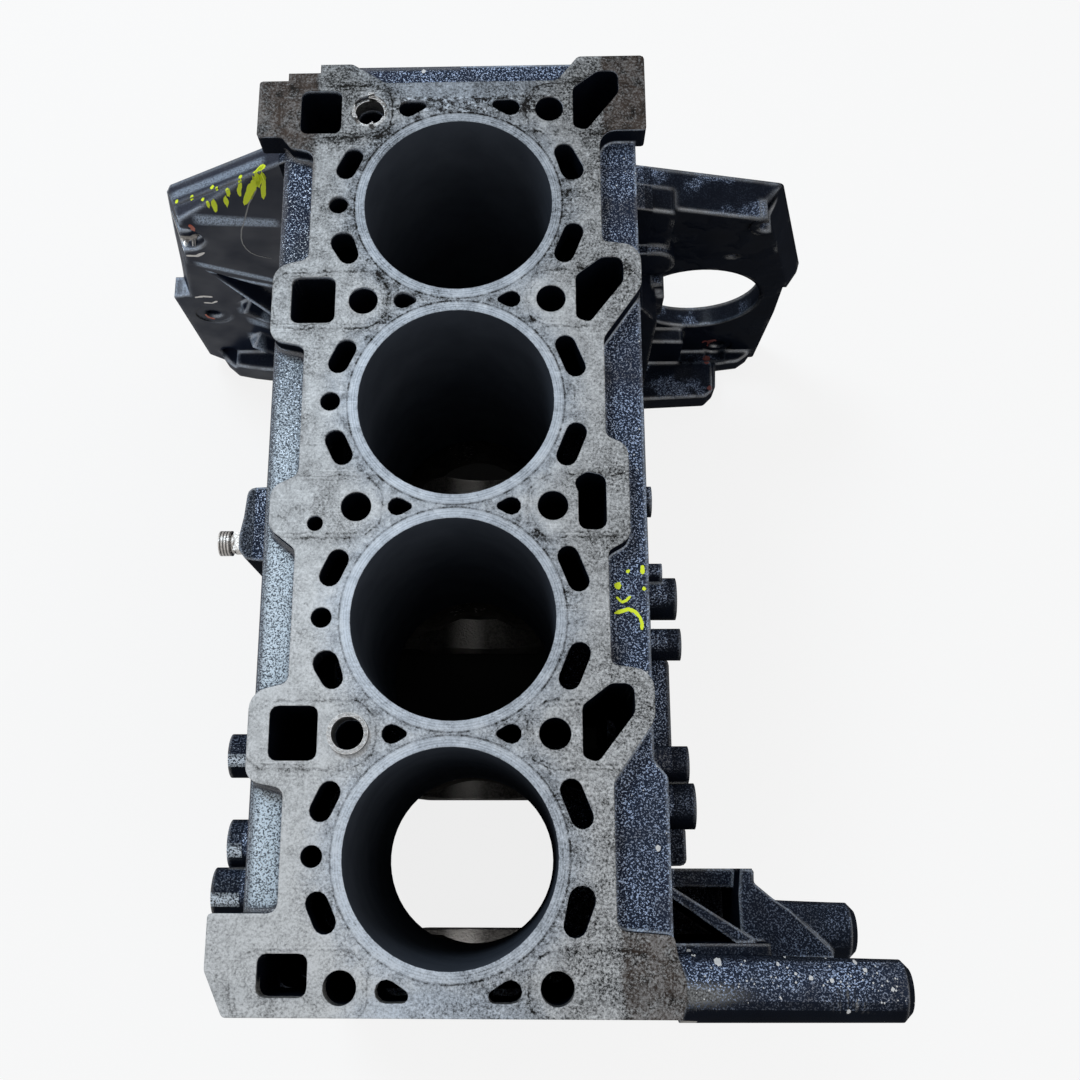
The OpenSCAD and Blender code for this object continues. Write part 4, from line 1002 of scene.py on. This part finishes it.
# The second colour is painted shade, for the table under the three rear bays
TABLE, TABLE_PAINTED_SHADE = grey(0.82), grey(0.06)
mesh = bpy.data.meshes.new("floor")
level = cad_box[0].z - FLOOR_GAP
mesh.from_pydata([(-FLOOR_SIZE, -FLOOR_SIZE, level), (FLOOR_SIZE, -FLOOR_SIZE, level),
                  (FLOOR_SIZE, FLOOR_SIZE, level), (-FLOOR_SIZE, FLOOR_SIZE, level)],
                 [], [(0, 1, 2, 3)])
floor = bpy.data.objects.new("floor", mesh)
scene.collection.objects.link(floor)
table_paint = bpy.data.materials.new("white table")
table_paint.use_nodes = True
tree = table_paint.node_tree
tree.nodes.clear()
rays = tree.nodes.new("ShaderNodeLightPath").outputs
x, y, z = split(tree, millimetres(tree))
between = both(tree, below(tree, magnitude(tree, x), UNDER_X), below(tree, y, REAR))
under_bays = both(tree, between, above(tree, y, UNDER_Y))
under_block = both(tree, between, above(tree, y, FRONT))
direct = both(tree, either(tree, rays["Is Camera Ray"], rays["Is Transmission Ray"]),
              rest(tree, under_bays))
mirrored = both(tree, rays["Is Glossy Ray"], rest(tree, under_block))
share = both(tree, either(tree, direct, mirrored), SHOWN_SHARE)
# Under the rear bays the table is painted dark, as shade
diffuse = add(tree, "ShaderNodeBsdfDiffuse", blend(tree, under_bays, TABLE, TABLE_PAINTED_SHADE))
glow = add(tree, "ShaderNodeEmission", grey(1.0), 1.0)
shown = add(tree, "ShaderNodeMixShader", share, diffuse, glow)
backside = tree.nodes.new("ShaderNodeNewGeometry").outputs["Backfacing"]
clear = add(tree, "ShaderNodeBsdfTransparent")
shown = add(tree, "ShaderNodeMixShader", backside, shown, clear)
output = tree.nodes.new("ShaderNodeOutputMaterial")
tree.links.new(shown, output.inputs[0])
mesh.materials.append(table_paint)
floor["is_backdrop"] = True
print("floor at", round(level * 1000, 2), "mm")

# %% [markdown]
# Sky and lamps
# An even sky lights everything a little. A small cool softbox high at the left rear gives
# the shine, and a weak warm one at the right front opens the shadows.

# %% The sky and the lamps
# Name, place in metres, size, power and colour of each lamp
LAMPS = (("overhead softbox", (-0.50, 0.72, 1.45), 0.42, 10.0, (0.76, 0.89, 1.0)),
         ("side softbox", (0.9, -0.5, 1.2), 0.7, 1.5, (1.0, 0.97, 0.93)))
LIT_POINT, SKY_LIGHT = (0, 0, 0.1), 0.5
sky = bpy.data.worlds.new("studio")
scene.world = sky
sky.use_nodes = True
tree = sky.node_tree
tree.nodes.clear()
rays = tree.nodes.new("ShaderNodeLightPath").outputs
seen = either(tree, rays["Is Camera Ray"], rays["Is Glossy Ray"], rays["Is Transmission Ray"])
strength = scaled(tree, seen, 1.0 - SKY_LIGHT, SKY_LIGHT)
background = add(tree, "ShaderNodeBackground", grey(1.0), strength)
tree.links.new(background, tree.nodes.new("ShaderNodeOutputWorld").inputs[0])

for name, spot, size, power, colour in LAMPS:
    lamp = bpy.data.lights.new(name, "AREA")
    lamp.size, lamp.energy, lamp.color = size, power, colour
    holder = bpy.data.objects.new(name, lamp)
    holder.location = spot
    aim = Vector(LIT_POINT) - Vector(spot)
    holder.rotation_euler = aim.to_track_quat("-Z", "Y").to_euler()
    scene.collection.objects.link(holder)
    print("lamp:", name, power, "W")

# %% [markdown]
# The camera
# The place and the tilt of the camera were solved from the photograph, from the four round
# bores and the ten bolt holes, whose true sizes the drawing gives. The shift stands for the
# crop of the photograph. The camera hangs half a metre above the deck, a little to the
# front, and looks down and slightly backwards.

# %% The camera of the photograph
LENS, SHIFT_X, SHIFT_Y = 40.3646, 0.03635, -0.001452
CAMERA_SPOT = (0.03476885, -0.15259512, 0.76462806)
RIGHT, UP, BACK = ((0.9996012, 0.0019739, -0.0281691), (0.0055136, 0.9647114, 0.2632520),
                   (0.0276947, -0.2633023, 0.9643158))
view = bpy.data.cameras.new("camera")
view.sensor_width = 36.0
view.lens = LENS
view.shift_x, view.shift_y = SHIFT_X, SHIFT_Y
view.clip_start = 0.02
camera = bpy.data.objects.new("camera", view)
turn = Matrix((RIGHT, UP, BACK)).transposed().to_4x4()
camera.matrix_world = Matrix.Translation(CAMERA_SPOT) @ turn
scene.collection.objects.link(camera)
scene.camera = camera
print("camera at", [round(v, 3) for v in camera.location])

# %% [markdown]
# Compare the boxes and finish The visual model has to stay inside the imported model's box.
# The growth of the shown box over the imported model's box is printed.

# %% Print how far the box grew
shown_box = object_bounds()
growth = (shown_box[1] - shown_box[0]) - (cad_box[1] - cad_box[0])
print("box grew by", [round(v * 1000, 3) for v in growth], "mm")
